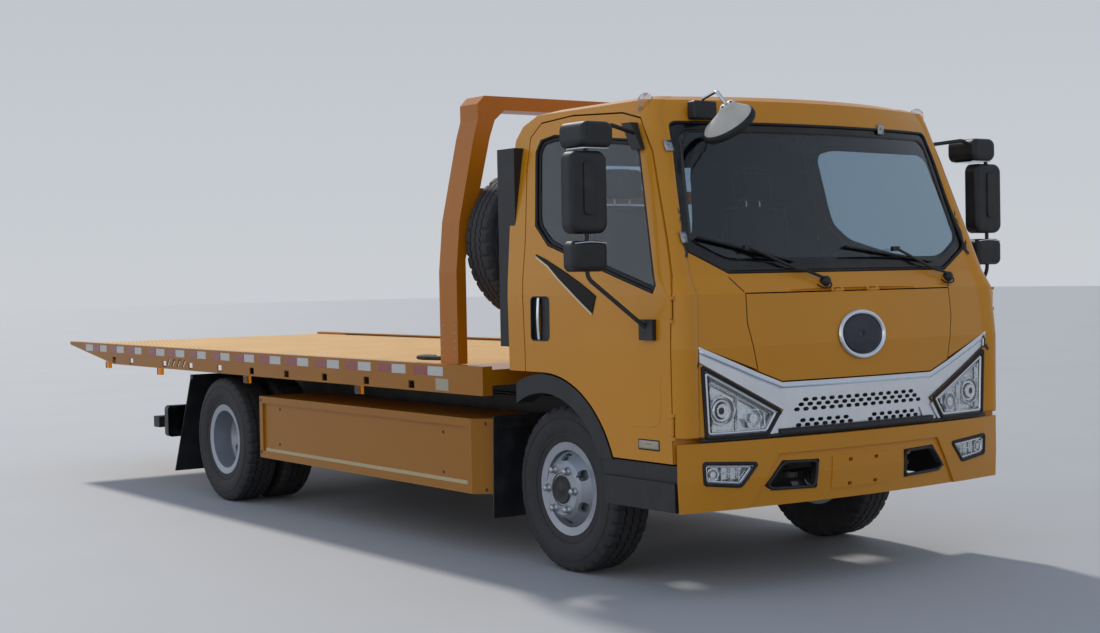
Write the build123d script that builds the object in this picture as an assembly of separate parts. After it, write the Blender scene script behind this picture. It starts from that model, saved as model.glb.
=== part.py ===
from build123d import *
import math
import os

os.makedirs("parts", exist_ok=True)

# Flatbed tow truck, millimetres. X points forward, Y to the left, Z up.
# The origin is on the ground under the middle of the overall length.

# Driving dimensions
LENGTH = 7700
FRONT_OVERHANG = 1130
WHEELBASE = 3800
CAB_WIDTH = 2170
BED_WIDTH = 2300
DECK_HEIGHT = 1027
TYRE_RADIUS = 418
TYRE_WIDTH = 235
RIM_SEAT_RADIUS = 203
RIM_FLANGE_RADIUS = 236
RIM_WIDTH = 190
FRONT_TYRE_Y = 856
REAR_TYRE_Y = (710, 985)

# Stations along the truck
FRONT_AXLE_X = LENGTH / 2 - FRONT_OVERHANG
REAR_AXLE_X = FRONT_AXLE_X - WHEELBASE
AXLE_Z = TYRE_RADIUS

# Clearances
DOOR_GAP = 8
LID_GAP = 6
SLIDE_GAP = 0.4
PIN_PLAY = 0.05
SEAT_GAP = 0.3


def ahead(x):
    """A place given from the front axle, as an X of the model."""
    return FRONT_AXLE_X + x


def behind(x):
    """A place given from the rear axle, as an X of the model."""
    return REAR_AXLE_X + x


def block(x_low, x_high, y_low, y_high, z_low, z_high):
    """A box between two corners."""
    size = (x_high - x_low, y_high - y_low, z_high - z_low)
    middle = ((x_low + x_high) / 2, (y_low + y_high) / 2, (z_low + z_high) / 2)
    return Pos(*middle) * Box(*size)


def side_plate(outline, y_low, y_high):
    """A plate drawn as X, Z points and pulled across the truck."""
    wire = Polyline(*[(x, y_low, z) for x, z in outline], close=True)
    return extrude(make_face(wire), y_high - y_low, dir=(0, 1, 0))


def front_plate(outline, x_low, x_high):
    """A plate drawn as Y, Z points and pulled along the truck."""
    wire = Polyline(*[(x_low, y, z) for y, z in outline], close=True)
    return extrude(make_face(wire), x_high - x_low, dir=(1, 0, 0))


def rod_x(x_low, x_high, y, z, radius):
    return Pos((x_low + x_high) / 2, y, z) * Rot(0, 90, 0) * Cylinder(radius, x_high - x_low)


def rod_y(x, y_low, y_high, z, radius):
    return Pos(x, (y_low + y_high) / 2, z) * Rot(90, 0, 0) * Cylinder(radius, y_high - y_low)


def rod_z(x, y, z_low, z_high, radius):
    return Pos(x, y, (z_low + z_high) / 2) * Cylinder(radius, z_high - z_low)


def bent_tube(points, radius, bend):
    """A round bar along straight runs joined by arcs."""
    path = FilletPolyline(*points, radius=bend) if len(points) > 2 else Line(*points)
    start = Plane(origin=path @ 0, z_dir=path % 0)
    return sweep(start * Circle(radius), path)


def other_side(shape):
    """The same shape on the other side of the truck."""
    return mirror(shape, about=Plane.XZ)


def pair(shape):
    """A right and a left copy in one node."""
    return Compound(children=[shape, other_side(shape)])


def symmetric(outline):
    """A right-hand half outline of Y, Z points closed with its mirror image."""
    return outline + [(-y, z) for y, z in reversed(outline)]


def write(name, shape):
    shape.label = name
    export_step(shape, f"parts/{name}.step")


# Wheels
TYRE_SHOULDER = 30
BEAD_HALF = 78
BARREL_WALL = 8
DISC_THICK = 12
DISC_BORE = 84
DISC_FACE = (REAR_TYRE_Y[1] - REAR_TYRE_Y[0]) / 2
DISC_FLAT_RADIUS = 128
NUT_CIRCLE_RADIUS = 111
HAND_HOLE_RADIUS = 160
SPINDLE_RADIUS = 30
DRUM_RADIUS_OUT = 165
DRUM_WALL = 13
DRUM_DEPTH = 140
NECK_RADIUS = 118
NECK_DEPTH = 50


def turn_to(along):
    """The turn that brings the Z axis onto the axle's direction, X or Y."""
    return (-90, 0, 0) if along == (0, 1, 0) else (0, 90, 0)


def tyre(x, y, z=AXLE_Z, along=(0, 1, 0)):
    """A tyre whose inside follows the rim, revolved about its own axle."""
    half = TYRE_WIDTH / 2
    tread_half = half - TYRE_SHOULDER
    bulge_radius = (TYRE_RADIUS + RIM_FLANGE_RADIUS) / 2
    left = [
        (BEAD_HALF, RIM_SEAT_RADIUS),
        (BEAD_HALF + 14, RIM_FLANGE_RADIUS - 14),
        (BEAD_HALF + 14, RIM_FLANGE_RADIUS + 2),
        (half, bulge_radius),
        (half - 9, TYRE_RADIUS - 22),
        (tread_half, TYRE_RADIUS),
    ]
    inside = [(tread_half, TYRE_RADIUS - 18), (half - 14, bulge_radius), (BEAD_HALF - 16, RIM_SEAT_RADIUS + 22)]
    half_section = left + inside
    right = [(-a, r) for a, r in left]
    far_inside = [(-a, r) for a, r in inside]
    ring = right + list(reversed(left)) + list(reversed(inside)) + far_inside
    section = Polyline(*[(r, 0, a) for a, r in ring], close=True)
    return Pos(x, y, z) * Rot(*turn_to(along)) * revolve(make_face(section), Axis.Z, 360)


def ring_solid(outline):
    """A solid of revolution about Z from points given as height, radius."""
    section = Polyline(*[(radius, 0, height) for height, radius in outline], close=True)
    return revolve(make_face(section), Axis.Z, 360)


def rim(facing, nuts_on):
    """A steel rim about Z; facing is the side its disc bulges to, nuts_on the side of its nuts."""
    half = RIM_WIDTH / 2
    inner_radius = RIM_SEAT_RADIUS - BARREL_WALL
    barrel = ring_solid([
        (-half, RIM_FLANGE_RADIUS), (-BEAD_HALF - 14, RIM_FLANGE_RADIUS), (-BEAD_HALF - 14, RIM_FLANGE_RADIUS - 14),
        (-BEAD_HALF, RIM_SEAT_RADIUS), (BEAD_HALF, RIM_SEAT_RADIUS), (BEAD_HALF + 14, RIM_FLANGE_RADIUS - 14),
        (BEAD_HALF + 14, RIM_FLANGE_RADIUS), (half, RIM_FLANGE_RADIUS), (half - 6, inner_radius), (6 - half, inner_radius),
    ])
    face = DISC_FACE
    disc = ring_solid([(facing * a, r) for a, r in (
        (40, inner_radius + 3), (56, inner_radius + 3), (face - 16, DISC_FLAT_RADIUS + 20), (face, DISC_FLAT_RADIUS),
        (face, DISC_BORE), (face - DISC_THICK, DISC_BORE), (face - DISC_THICK, DISC_FLAT_RADIUS - 4),
        (face - 28, DISC_FLAT_RADIUS + 14), (40, inner_radius - 8),
    )])
    hand_hole = extrude(SlotOverall(58, 32), 200, both=True)
    disc -= [Rot(0, 0, 60 * turn + 30) * Pos(HAND_HOLE_RADIUS, 0, 0) * Rot(0, 0, 90) * hand_hole for turn in range(6)]
    body = barrel + disc
    if nuts_on:
        seat = facing * face if nuts_on == facing else facing * (face - DISC_THICK)
        nut = Pos(0, 0, seat + nuts_on * 13) * Cylinder(16, 26)
        body += [Rot(0, 0, 60 * turn) * Pos(NUT_CIRCLE_RADIUS, 0, 0) * nut for turn in range(6)]
    return body


def on_axle(shape, x, y, z=AXLE_Z, along=(0, 1, 0)):
    """Brings a shape drawn about Z onto its axle; its +Z side then looks to +Y or +X."""
    return Pos(x, y, z) * Rot(*turn_to(along)) * shape


def hub_and_drum(x, side, face_y, cap):
    """The brake drum and hub behind a disc; face_y is the disc's inner face on the left."""
    def ring(y_low, y_high, radius):
        return rod_y(x, *sorted((side * y_low, side * y_high)), AXLE_Z, radius)

    drum_front = face_y - NECK_DEPTH
    drum_back = drum_front - DRUM_DEPTH
    body = ring(drum_back, drum_front, DRUM_RADIUS_OUT) - ring(drum_back, drum_front - DRUM_WALL, DRUM_RADIUS_OUT - DRUM_WALL)
    body += ring(drum_front - DRUM_WALL, face_y, NECK_RADIUS)
    body += ring(drum_front - 60, face_y + cap, DISC_BORE - 4)
    return body - ring(drum_back, face_y - 12, SPINDLE_RADIUS + PIN_PLAY)


FRONT_FACE_Y = FRONT_TYRE_Y + DISC_FACE - DISC_THICK
REAR_FACE_Y = REAR_TYRE_Y[0] + DISC_FACE - DISC_THICK
SPINDLE_END_PLAY = 20


def front_wheel(side):
    wheel = on_axle(rim(side, side), FRONT_AXLE_X, side * FRONT_TYRE_Y)
    return wheel + hub_and_drum(FRONT_AXLE_X, side, FRONT_FACE_Y, 8)


def rear_wheel(side):
    inner = on_axle(rim(side, 0), REAR_AXLE_X, side * REAR_TYRE_Y[0])
    outer = on_axle(rim(-side, side), REAR_AXLE_X, side * REAR_TYRE_Y[1])
    return inner + outer + hub_and_drum(REAR_AXLE_X, side, REAR_FACE_Y, 95)


for side, name in ((-1, "right"), (1, "left")):
    write(f"tyre_front_{name}", tyre(FRONT_AXLE_X, side * FRONT_TYRE_Y))
    write(f"rim_front_{name}", front_wheel(side))
    duals = [tyre(REAR_AXLE_X, side * y) for y in REAR_TYRE_Y]
    write(f"tyres_rear_{name}", Compound(children=duals))
    write(f"rims_rear_{name}", rear_wheel(side))


# Chassis frame
RAIL_LOW = 555
RAIL_HEIGHT = 200
RAIL_TOP = RAIL_LOW + RAIL_HEIGHT
RAIL_OUTER_Y = 425
RAIL_FLANGE = 70
RAIL_WALL = 7
RAIL_INNER_Y = RAIL_OUTER_Y - RAIL_WALL
CROSS_LOW = 600
UNDERRUN_Z = (420, 500)
RAIL_FRONT_X = ahead(980)
RAIL_REAR_X = behind(-1280)
SUBFRAME_HEIGHT = 46
PAD_HEIGHT = 5
SUBFRAME_TOP = RAIL_TOP + SUBFRAME_HEIGHT
PAD_TOP = SUBFRAME_TOP + PAD_HEIGHT
TILT_BOTTOM = PAD_TOP + SLIDE_GAP
TILT_HEIGHT = 100
TILT_TOP = TILT_BOTTOM + TILT_HEIGHT
TILT_INNER_Y = 360
TILT_OUTER_Y = 420
TILT_WALL = 8
BED_PIVOT_X = behind(-1100)
BED_PIVOT_Z = 802
BED_PIN_RADIUS = 22
CAB_PIVOT_X = ahead(930)
CAB_PIVOT_Z = 588
CAB_PIN_RADIUS = 18
TOW_EYE_X = ahead(1005)
TOW_EYE_Y = 382
TOW_EYE_Z = (518, 543)
TOW_EYE_RADIUS = 20
TOW_TAB_HALF = 36
TUNNEL_HALF = 495
CYLINDER_Y = 215
TILT_BASE = (ahead(-3200), 610)
TILT_EYE = (ahead(-2300), 868)
TILT_PIN_RADIUS = 18
FORK_THICK = 15
FORK_Y = (CYLINDER_Y - 45, CYLINDER_Y + 30)
TILT_LUG = [(ahead(x), z) for x, z in ((-3305, 700), (-3215, 650), (-3165, 625), (-3165, 590), (-3215, 572), (-3305, 602))]


def channel(x_low, x_high, web_y, flange_y, z_low, z_high, wall):
    """A C section along X with its web at web_y and its flanges reaching to flange_y."""
    low, high = sorted((web_y, flange_y))
    solid = block(x_low, x_high, low, high, z_low, z_high)
    inner = (low, high - wall) if web_y > flange_y else (low + wall, high)
    return solid - block(x_low, x_high, *inner, z_low + wall, z_high - wall)


def cross_tube(x, z, radius, half):
    return rod_y(x, -half, half, z, radius)


def tow_lug():
    """A flat tab under the rail's front end, with an upright bore for the tow pin."""
    tab = block(ahead(900), TOW_EYE_X, TOW_EYE_Y - TOW_TAB_HALF, TOW_EYE_Y + TOW_TAB_HALF, *TOW_EYE_Z)
    tab += rod_z(TOW_EYE_X, TOW_EYE_Y, *TOW_EYE_Z, TOW_TAB_HALF)
    tab += block(ahead(900), ahead(965), RAIL_OUTER_Y - RAIL_FLANGE, RAIL_OUTER_Y - RAIL_WALL, TOW_EYE_Z[0], RAIL_LOW + RAIL_WALL)
    return tab - rod_z(TOW_EYE_X, TOW_EYE_Y, *TOW_EYE_Z, TOW_EYE_RADIUS)


def rail_side():
    """The left rail with what is welded to it: the subframe, pads, pivot pins, tow lug and underrun arm."""
    rail = channel(RAIL_REAR_X, RAIL_FRONT_X, RAIL_OUTER_Y, RAIL_OUTER_Y - RAIL_FLANGE, RAIL_LOW, RAIL_TOP, RAIL_WALL)
    sub_rail = block(behind(-900), ahead(-600), TILT_INNER_Y + 5, RAIL_OUTER_Y, RAIL_TOP, SUBFRAME_TOP)
    pads = [block(ahead(x) - 90, ahead(x) + 90, TILT_INNER_Y + 10, TILT_OUTER_Y, SUBFRAME_TOP, PAD_TOP)
            for x in (-900, -1900, -3000, -4300)]
    ear_outer = RAIL_OUTER_Y + 14
    ear = block(BED_PIVOT_X - 60, BED_PIVOT_X + 60, RAIL_OUTER_Y, ear_outer, 600, BED_PIVOT_Z)
    ear += rod_y(BED_PIVOT_X, RAIL_OUTER_Y, ear_outer, BED_PIVOT_Z, 38)
    bed_pin = rod_y(BED_PIVOT_X, TILT_INNER_Y - 5, ear_outer, BED_PIVOT_Z, BED_PIN_RADIUS)
    cab_pin = rod_y(CAB_PIVOT_X, RAIL_OUTER_Y - RAIL_WALL, TUNNEL_HALF + 2, CAB_PIVOT_Z, CAB_PIN_RADIUS)
    underrun_arm = block(RAIL_REAR_X, RAIL_REAR_X + 70, 300, 360, UNDERRUN_Z[1], CROSS_LOW)
    underrun_arm += block(RAIL_REAR_X, RAIL_REAR_X + 70, 300, RAIL_OUTER_Y, RAIL_LOW, CROSS_LOW)
    return rail + sub_rail + pads + ear + bed_pin + cab_pin + tow_lug() + underrun_arm


def cross_member(x):
    return block(x - 35, x + 35, -RAIL_INNER_Y, RAIL_INNER_Y, CROSS_LOW, RAIL_TOP - RAIL_WALL)


def fork_member():
    """The cross member that carries the forks and pins of the two tilt cylinders."""
    body = cross_member(ahead(-3335))
    for side in (-1, 1):
        for y_lug in FORK_Y:
            body += side_plate(TILT_LUG, *sorted((side * y_lug, side * (y_lug + FORK_THICK))))
        pin_ends = sorted((side * FORK_Y[0], side * (FORK_Y[1] + FORK_THICK)))
        body += rod_y(TILT_BASE[0], *pin_ends, TILT_BASE[1], TILT_PIN_RADIUS)
    return body


def chassis_frame():
    """The rails, the members between them, the underrun bar and the cab's rear rest."""
    members = [cross_member(x) for x in (ahead(-900), ahead(-2050), behind(-550), behind(-1240))]
    members.append(fork_member())
    members.append(cross_tube(ahead(880), 640, 40, RAIL_INNER_Y))
    members.append(block(RAIL_REAR_X - 30, RAIL_REAR_X + 70, -1050, 1050, *UNDERRUN_Z))
    rest = [
        (-RAIL_OUTER_Y, RAIL_TOP), (-RAIL_OUTER_Y, 1011), (RAIL_OUTER_Y, 1011), (RAIL_OUTER_Y, RAIL_TOP),
        (RAIL_OUTER_Y - 60, RAIL_TOP), (RAIL_OUTER_Y - 60, 965), (60 - RAIL_OUTER_Y, 965), (60 - RAIL_OUTER_Y, RAIL_TOP),
    ]
    members.append(front_plate(rest, ahead(-290), ahead(-235)))
    return Compound(children=[rail_side(), other_side(rail_side())] + members)


write("chassis_frame", chassis_frame())


# Axles, springs and drive line
KINGPIN_Y = 742
KINGPIN_RADIUS = 16
SPRING_Y = 390
SPRING_WIDTH = 70


def front_axle():
    beam = block(ahead(-45), ahead(45), -640, 640, 330, 400)
    for side in (-1, 1):
        ends = sorted((side * 600, side * (KINGPIN_Y - 12)))
        beam += block(ahead(-32), ahead(32), *ends, AXLE_Z - 42, AXLE_Z + 30)
        beam += rod_z(FRONT_AXLE_X, side * KINGPIN_Y, AXLE_Z - 45, AXLE_Z + 45, 30)
        beam -= rod_z(FRONT_AXLE_X, side * KINGPIN_Y, AXLE_Z - 60, AXLE_Z + 60, KINGPIN_RADIUS + PIN_PLAY)
    return beam


def knuckle(side):
    y = side * KINGPIN_Y
    pin = rod_z(FRONT_AXLE_X, y, AXLE_Z - 95, AXLE_Z + 95, KINGPIN_RADIUS)
    arms = rod_z(FRONT_AXLE_X, y, AXLE_Z + 52, AXLE_Z + 95, 30) + rod_z(FRONT_AXLE_X, y, AXLE_Z - 95, AXLE_Z - 52, 30)
    back = sorted((y + side * 34, y + side * 62))
    plate = block(ahead(-45), ahead(45), *back, AXLE_Z - 95, AXLE_Z + 95)
    for low, high in ((52, 95), (-95, -52)):
        plate += block(ahead(-28), ahead(28), *sorted((y, y + side * 50)), AXLE_Z + low, AXLE_Z + high)
    spindle_end = side * (FRONT_FACE_Y - SPINDLE_END_PLAY)
    spindle = rod_y(FRONT_AXLE_X, *sorted((y + side * 50, spindle_end)), AXLE_Z, SPINDLE_RADIUS)
    return pin + arms + plate + spindle


def rear_axle():
    housing = cross_tube(REAR_AXLE_X, AXLE_Z, 55, REAR_FACE_Y - NECK_DEPTH - DRUM_WALL - 70)
    housing += Pos(REAR_AXLE_X, 0, AXLE_Z) * Sphere(165)
    housing += rod_x(REAR_AXLE_X, REAR_AXLE_X + 260, 0, AXLE_Z, 70)
    return housing + cross_tube(REAR_AXLE_X, AXLE_Z, SPINDLE_RADIUS, REAR_FACE_Y - SPINDLE_END_PLAY)


def leaf_spring(x, half_length, z_seat, z_eye, pack):
    """A leaf pack curved between its two hangers, with the hangers up to the rail."""
    bottom = ThreePointArc((x - half_length, 0, z_eye), (x, 0, z_seat), (x + half_length, 0, z_eye))
    top = ThreePointArc((x - half_length, 0, z_eye + 14), (x, 0, z_seat + pack), (x + half_length, 0, z_eye + 14))
    ends = [Line(bottom @ 0, top @ 0), Line(bottom @ 1, top @ 1)]
    leaves = extrude(make_face([bottom, top] + ends), SPRING_WIDTH, dir=(0, 1, 0))
    spring = Pos(0, SPRING_Y - SPRING_WIDTH / 2, 0) * leaves
    for end in (-1, 1):
        x_eye = x + end * half_length
        spring += block(x_eye - 26, x_eye + 26, SPRING_Y - 38, SPRING_Y + 35, z_eye - 15, RAIL_LOW)
    return spring


front_spring = leaf_spring(FRONT_AXLE_X, 600, 400, 500, 48)
rear_spring = leaf_spring(REAR_AXLE_X, 620, 473, 500, 66)
springs = [front_spring, other_side(front_spring), rear_spring, other_side(rear_spring)]
write("front_axle", front_axle())
write("rear_axle", rear_axle())
write("leaf_springs", Compound(children=springs))
write("knuckle_right", knuckle(-1))
write("knuckle_left", knuckle(1))

GEARBOX_REAR_X = ahead(-860)
SHAFT_FRONT_Z = 520
PINION_X = REAR_AXLE_X + 260
YOKE_LENGTH = 70
shaft_line = [(GEARBOX_REAR_X - YOKE_LENGTH / 2, 0, SHAFT_FRONT_Z), (PINION_X + YOKE_LENGTH / 2, 0, AXLE_Z)]
front_yoke = rod_x(GEARBOX_REAR_X - YOKE_LENGTH, GEARBOX_REAR_X, 0, SHAFT_FRONT_Z, 52)
rear_yoke = rod_x(PINION_X, PINION_X + YOKE_LENGTH, 0, AXLE_Z, 52)
write("prop_shaft", bent_tube(shaft_line, 40, 1) + front_yoke + rear_yoke)


def engine_block():
    engine = block(ahead(-420), ahead(480), -270, 270, 470, 925)
    engine += block(GEARBOX_REAR_X, ahead(-420), -170, 170, 430, 720)
    mounts = block(ahead(200), ahead(300), -RAIL_INNER_Y, RAIL_INNER_Y, 600, 680)
    return engine + mounts


write("engine_block", engine_block())


# Side boxes, tanks and mudguards
BOX_OUTER_Y = 1080
BOX_INNER_Y = 660
BOX_FRONT_X = ahead(-600)
BOX_REAR_X = behind(547)
BOX_LOW = 338
BOX_HIGH = 739
BOX_CHAMFER = 95
PANEL_FRAME = 45
PANEL_RECESS = 14


def side_box():
    plan = [
        (BOX_REAR_X, BOX_INNER_Y), (BOX_REAR_X, BOX_OUTER_Y), (BOX_FRONT_X - BOX_CHAMFER, BOX_OUTER_Y),
        (BOX_FRONT_X, BOX_OUTER_Y - BOX_CHAMFER), (BOX_FRONT_X, BOX_INNER_Y),
    ]
    floor = make_face(Polyline(*[(x, y, BOX_LOW) for x, y in plan], close=True))
    body = extrude(floor, BOX_HIGH - BOX_LOW, dir=(0, 0, 1))
    body -= block(BOX_REAR_X + PANEL_FRAME, BOX_FRONT_X - BOX_CHAMFER - PANEL_FRAME,
                  BOX_OUTER_Y - PANEL_RECESS, BOX_OUTER_Y, BOX_LOW + PANEL_FRAME, BOX_HIGH - PANEL_FRAME)
    for x in (ahead(-1000), BOX_REAR_X + 263):
        body += block(x - 30, x + 30, RAIL_OUTER_Y, BOX_INNER_Y, 600, 660)
    return body


write("side_boxes", pair(side_box()))

fuel_tank = fillet(block(ahead(-2100), ahead(-1200), RAIL_OUTER_Y, 652, 360, 735).edges().filter_by(Axis.X), 30)
air_tanks = [rod_x(ahead(x) - 330, ahead(x) + 330, -540, 620, 100) for x in (-1500, -2300)]
tank_straps = [block(ahead(x) - 20, ahead(x) + 20, -(RAIL_OUTER_Y + 20), -RAIL_OUTER_Y, 600, 640) for x in (-1500, -2300)]
tanks = [fuel_tank] + [tank + strap for tank, strap in zip(air_tanks, tank_straps)]
write("tanks", Compound(children=tanks))

FLAP_TOP = (behind(-490), 840)
FLAP_FOOT = (behind(-810), 136)


def rear_mudguard():
    post = block(FLAP_TOP[0] - 20, FLAP_TOP[0] + 20, RAIL_OUTER_Y, RAIL_OUTER_Y + 12, 640, FLAP_TOP[1])
    arm = block(FLAP_TOP[0] - 20, FLAP_TOP[0] + 20, RAIL_OUTER_Y, 1100, FLAP_TOP[1] - 30, FLAP_TOP[1])
    flap_outline = [
        (FLAP_TOP[0], FLAP_TOP[1]), (FLAP_TOP[0] - 8, FLAP_TOP[1]),
        (FLAP_FOOT[0] - 8, FLAP_FOOT[1]), (FLAP_FOOT[0], FLAP_FOOT[1]),
    ]
    flap = side_plate(flap_outline, 590, 1100)
    return post + arm + flap


def front_mudflap():
    plate = side_plate([(ahead(-520), 760), (ahead(-528), 760), (ahead(-542), 222), (ahead(-534), 222)], 690, 1050)
    arm = block(ahead(-540), ahead(-510), RAIL_OUTER_Y, 1000, 690, 720)
    return plate + arm


guards = [rear_mudguard(), other_side(rear_mudguard()), front_mudflap(), other_side(front_mudflap())]
write("mudguards", Compound(children=guards))

LAMP_X = behind(-780)


def tail_lamp():
    housing = block(LAMP_X - 60, LAMP_X, 700, 1160, 385, 610)
    housing = fillet(housing.edges().filter_by(Axis.X), 30)
    arm = block(LAMP_X - 50, LAMP_X - 10, RAIL_OUTER_Y, 700, 560, 600)
    return housing + arm


write("tail_lamps", pair(tail_lamp()))


# Bumper sections, and the hinges of the doors and the front lid
# Columns: height, half width, x and y where the front arc ends, x at the centre
BUMPER_LOW = 405
BUMPER_HIGH = 720
BUMPER_WALL = 40
BUMPER_SECTIONS = (
    (BUMPER_LOW, 1076, 1036, 940, 1108),
    (BUMPER_LOW + 140, 1083, 1048, 955, 1124),
    (BUMPER_HIGH, 1083, 1048, 955, 1130),
)
HINGE_PIN_RADIUS = 4
HINGE_RADIUS = 9
LID_HINGE = (ahead(1079), 1398)
LID_HINGE_Y = (100, 140)
LID_RELIEF_HALF = 420
DOOR_HINGE = (ahead(993), CAB_WIDTH / 2 + 2)
DOOR_HINGE_Z = (800, 1330)


# Cab: the outside is a ruled loft through plan sections
# Columns: height, rear x, half width, x where the corner starts, x and y where it ends, x at the centre
WALL = 45
CAB_HALF = CAB_WIDTH / 2
CAB_SECTIONS = (
    (600, -306, CAB_HALF - 2, 985, 1045, 967, 1113),
    (1150, -306, CAB_HALF + 3, 985, 1045, 967, 1113),
    (1395, -314, CAB_HALF + 1, 955, 1025, 950, 1088),
    (1480, -318, CAB_HALF - 5, 900, 975, 945, 1024),
    (2060, -382, CAB_HALF - 90, 703, 790, 900, 897),
    (2195, -377, CAB_HALF - 113, 664, 735, 893, 868),
    (2262, -325, CAB_HALF - 124, 640, 712, 880, 860),
    (2312, -215, CAB_HALF - 140, 620, 695, 850, 852),
    (2336, -120, CAB_HALF - 225, 560, 640, 760, 800),
)


def plan_section(row, inset):
    """One closed plan outline of the cab, moved inwards by the inset."""
    height, rear, half, corner, arc_x, arc_y, front = row
    rear_x = ahead(rear) + inset
    half_y = half - inset
    corner_x = ahead(corner)
    end_x = ahead(arc_x) - inset
    end_y = arc_y - 0.6 * inset
    front_x = ahead(front) - inset
    if end_x < corner_x + 10:
        corner_x = end_x - 10
    edges = [
        Line((rear_x, -half_y, height), (rear_x, half_y, height)),
        Line((rear_x, half_y, height), (corner_x, half_y, height)),
        TangentArc((corner_x, half_y, height), (end_x, end_y, height), tangent=(1, 0, 0)),
        ThreePointArc((end_x, end_y, height), (front_x, 0, height), (end_x, -end_y, height)),
        TangentArc((corner_x, -half_y, height), (end_x, -end_y, height), tangent=(1, 0, 0)),
        Line((corner_x, -half_y, height), (rear_x, -half_y, height)),
    ]
    return make_face(edges)


def cab_form(inset):
    """The cab's outer form, or the same form moved inwards with its roof lowered as much."""
    rows = list(CAB_SECTIONS)
    if inset:
        rows = rows[:-2] + [(rows[-1][0] - inset,) + rows[-2][1:]]
    return loft([plan_section(row, inset) for row in rows], ruled=True)


ARCH_RADIUS = 600
ARCH_X = ahead(-10)
ARCH_Z = 412
SILL_Z = 631
CORNER_X = ahead(997)
CORNER_Z = 750
TUNNEL_TOP = 950
TUNNEL_FRONT_X = ahead(985)


def under_cab(wall):
    """What is cut away below the cab: wheel arches, sills, nose and engine tunnel, grown by a wall."""
    wide = CAB_HALF + 200
    arch_top = ARCH_Z + ARCH_RADIUS + wall
    space = rod_y(ARCH_X, -wide, wide, ARCH_Z, ARCH_RADIUS + wall)
    space += block(ahead(-700), ARCH_X, -wide, wide, 100, arch_top)
    space += block(ahead(300), ahead(1300), -wide, wide, 100, SILL_Z + wall)
    space += block(CORNER_X - wall, ahead(1300), -wide, wide, 100, CORNER_Z + wall)
    half = TUNNEL_HALF + wall
    space += block(ahead(-700), TUNNEL_FRONT_X + wall, -half, half, 100, TUNNEL_TOP + wall)
    return space


DOOR_OUTLINE = [(ahead(x), z) for x, z in (
    (987, 500), (987, 1400), (903, 1643), (747, 2062), (651, 2222), (507, 2258), (100, 2280),
    (-160, 2264), (-240, 2198), (-240, 2038), (-190, 1672), (-160, 1130), (-160, 500),
)]
WINDOW_OUTLINE = [(ahead(x), z) for x, z in (
    (-121, 1742), (-186, 2122), (-154, 2182), (-34, 2200), (610, 2130), (672, 2085), (888, 1440), (866, 1400), (5, 1640),
)]
LID_OUTLINE = symmetric([(-503, 984), (-640, 1035), (-688, 1260), (-684, 1392)])
SCREEN_OUTLINE = symmetric([(-735, 1486), (-940, 1590), (-950, 1620), (-872, 2190), (-845, 2208)])
REAR_WINDOW = [(-620, 1700), (620, 1700), (600, 2080), (-600, 2080)]
BAND_ENDS = [(-583, 740), (-503, 848), (-971, 1087), (-973, 1162)]
BAND_OUTLINE = symmetric(BAND_ENDS + [(-640, 1027), (-503, 977)])
BAND_HOLE = symmetric(BAND_ENDS + [(-640, 1041), (-503, 990)])
LAMP_OUTLINE = [(-937, 740), (-591, 740), (-515, 846), (-954, 1070)]


def side_slab(depth):
    """The space outside the cab's side, from the given depth behind its skin outwards."""
    inner_edge = [(half - depth, height) for height, _, half, _, _, _, _ in CAB_SECTIONS]
    outer_edge = [(CAB_HALF + 200, CAB_SECTIONS[-1][0]), (CAB_HALF + 200, CAB_SECTIONS[0][0])]
    return front_plate(inner_edge + outer_edge, ahead(-700), ahead(1300))


def across(face, y_low, y_high):
    """A flat X, Z face drawn on the ground plane, stood up and pulled across the truck."""
    stood = Pos(0, y_high, 0) * Rot(90, 0, 0) * face
    return extrude(stood, y_high - y_low, dir=(0, -1, 0))


def along(face, x_low, x_high):
    """A flat Y, Z face drawn on the ground plane, stood up and pulled along the truck."""
    stood = Pos(x_low, 0, 0) * Rot(0, 0, 90) * Rot(90, 0, 0) * face
    return extrude(stood, x_high - x_low, dir=(1, 0, 0))


def bumper_form(inset):
    """The bumper's outer form, or the same form moved inwards."""
    faces = []
    for height, half, arc_x, arc_y, front in BUMPER_SECTIONS:
        half_y = half - inset
        rear = ahead(1018) - (30 if inset else 0)
        end = (ahead(arc_x) - inset, arc_y - 0.6 * inset, height)
        corner = (rear, half_y, height)
        edges = [
            Line((rear, -half_y, height), corner),
            Line(corner, end),
            ThreePointArc(end, (ahead(front) - inset, 0, height), (end[0], -end[1], height)),
            Line((end[0], -end[1], height), (rear, -half_y, height)),
        ]
        faces.append(make_face(edges))
    return loft(faces, ruled=True)


def bumper_bracket(side):
    """A tab from the tunnel's side wall to the inside of the bumper."""
    ends = sorted((side * (TUNNEL_HALF + 3), side * (TUNNEL_HALF + 40)))
    tab = block(ahead(985), ahead(1150), *ends, SILL_Z + 14, BUMPER_HIGH - 4) & bumper_form(BUMPER_WALL)
    return tab + block(ahead(930), ahead(1000), *ends, SILL_Z + 14, BUMPER_HIGH - 4)


def lid_hinge_pin(side):
    """The front lid's hinge pin between two small lugs of the shell."""
    x, z = LID_HINGE
    y_low, y_high = LID_HINGE_Y
    body = rod_y(x, *sorted((side * (y_low - 20), side * (y_high + 20))), z, HINGE_PIN_RADIUS)
    for y in (y_low - 20, y_high + 5):
        body += block(x - 34, x + 4, *sorted((side * y, side * (y + 15))), z - 4, z + 20) & outer_form
    return body


def lid_knuckle(side):
    x, z = LID_HINGE
    ends = sorted((side * LID_HINGE_Y[0], side * LID_HINGE_Y[1]))
    body = rod_y(x, *ends, z, HINGE_RADIUS) + block(x - 7, x + 7, *ends, z - 22, z)
    return body - rod_y(x, *ends, z, HINGE_PIN_RADIUS + PIN_PLAY)


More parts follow.
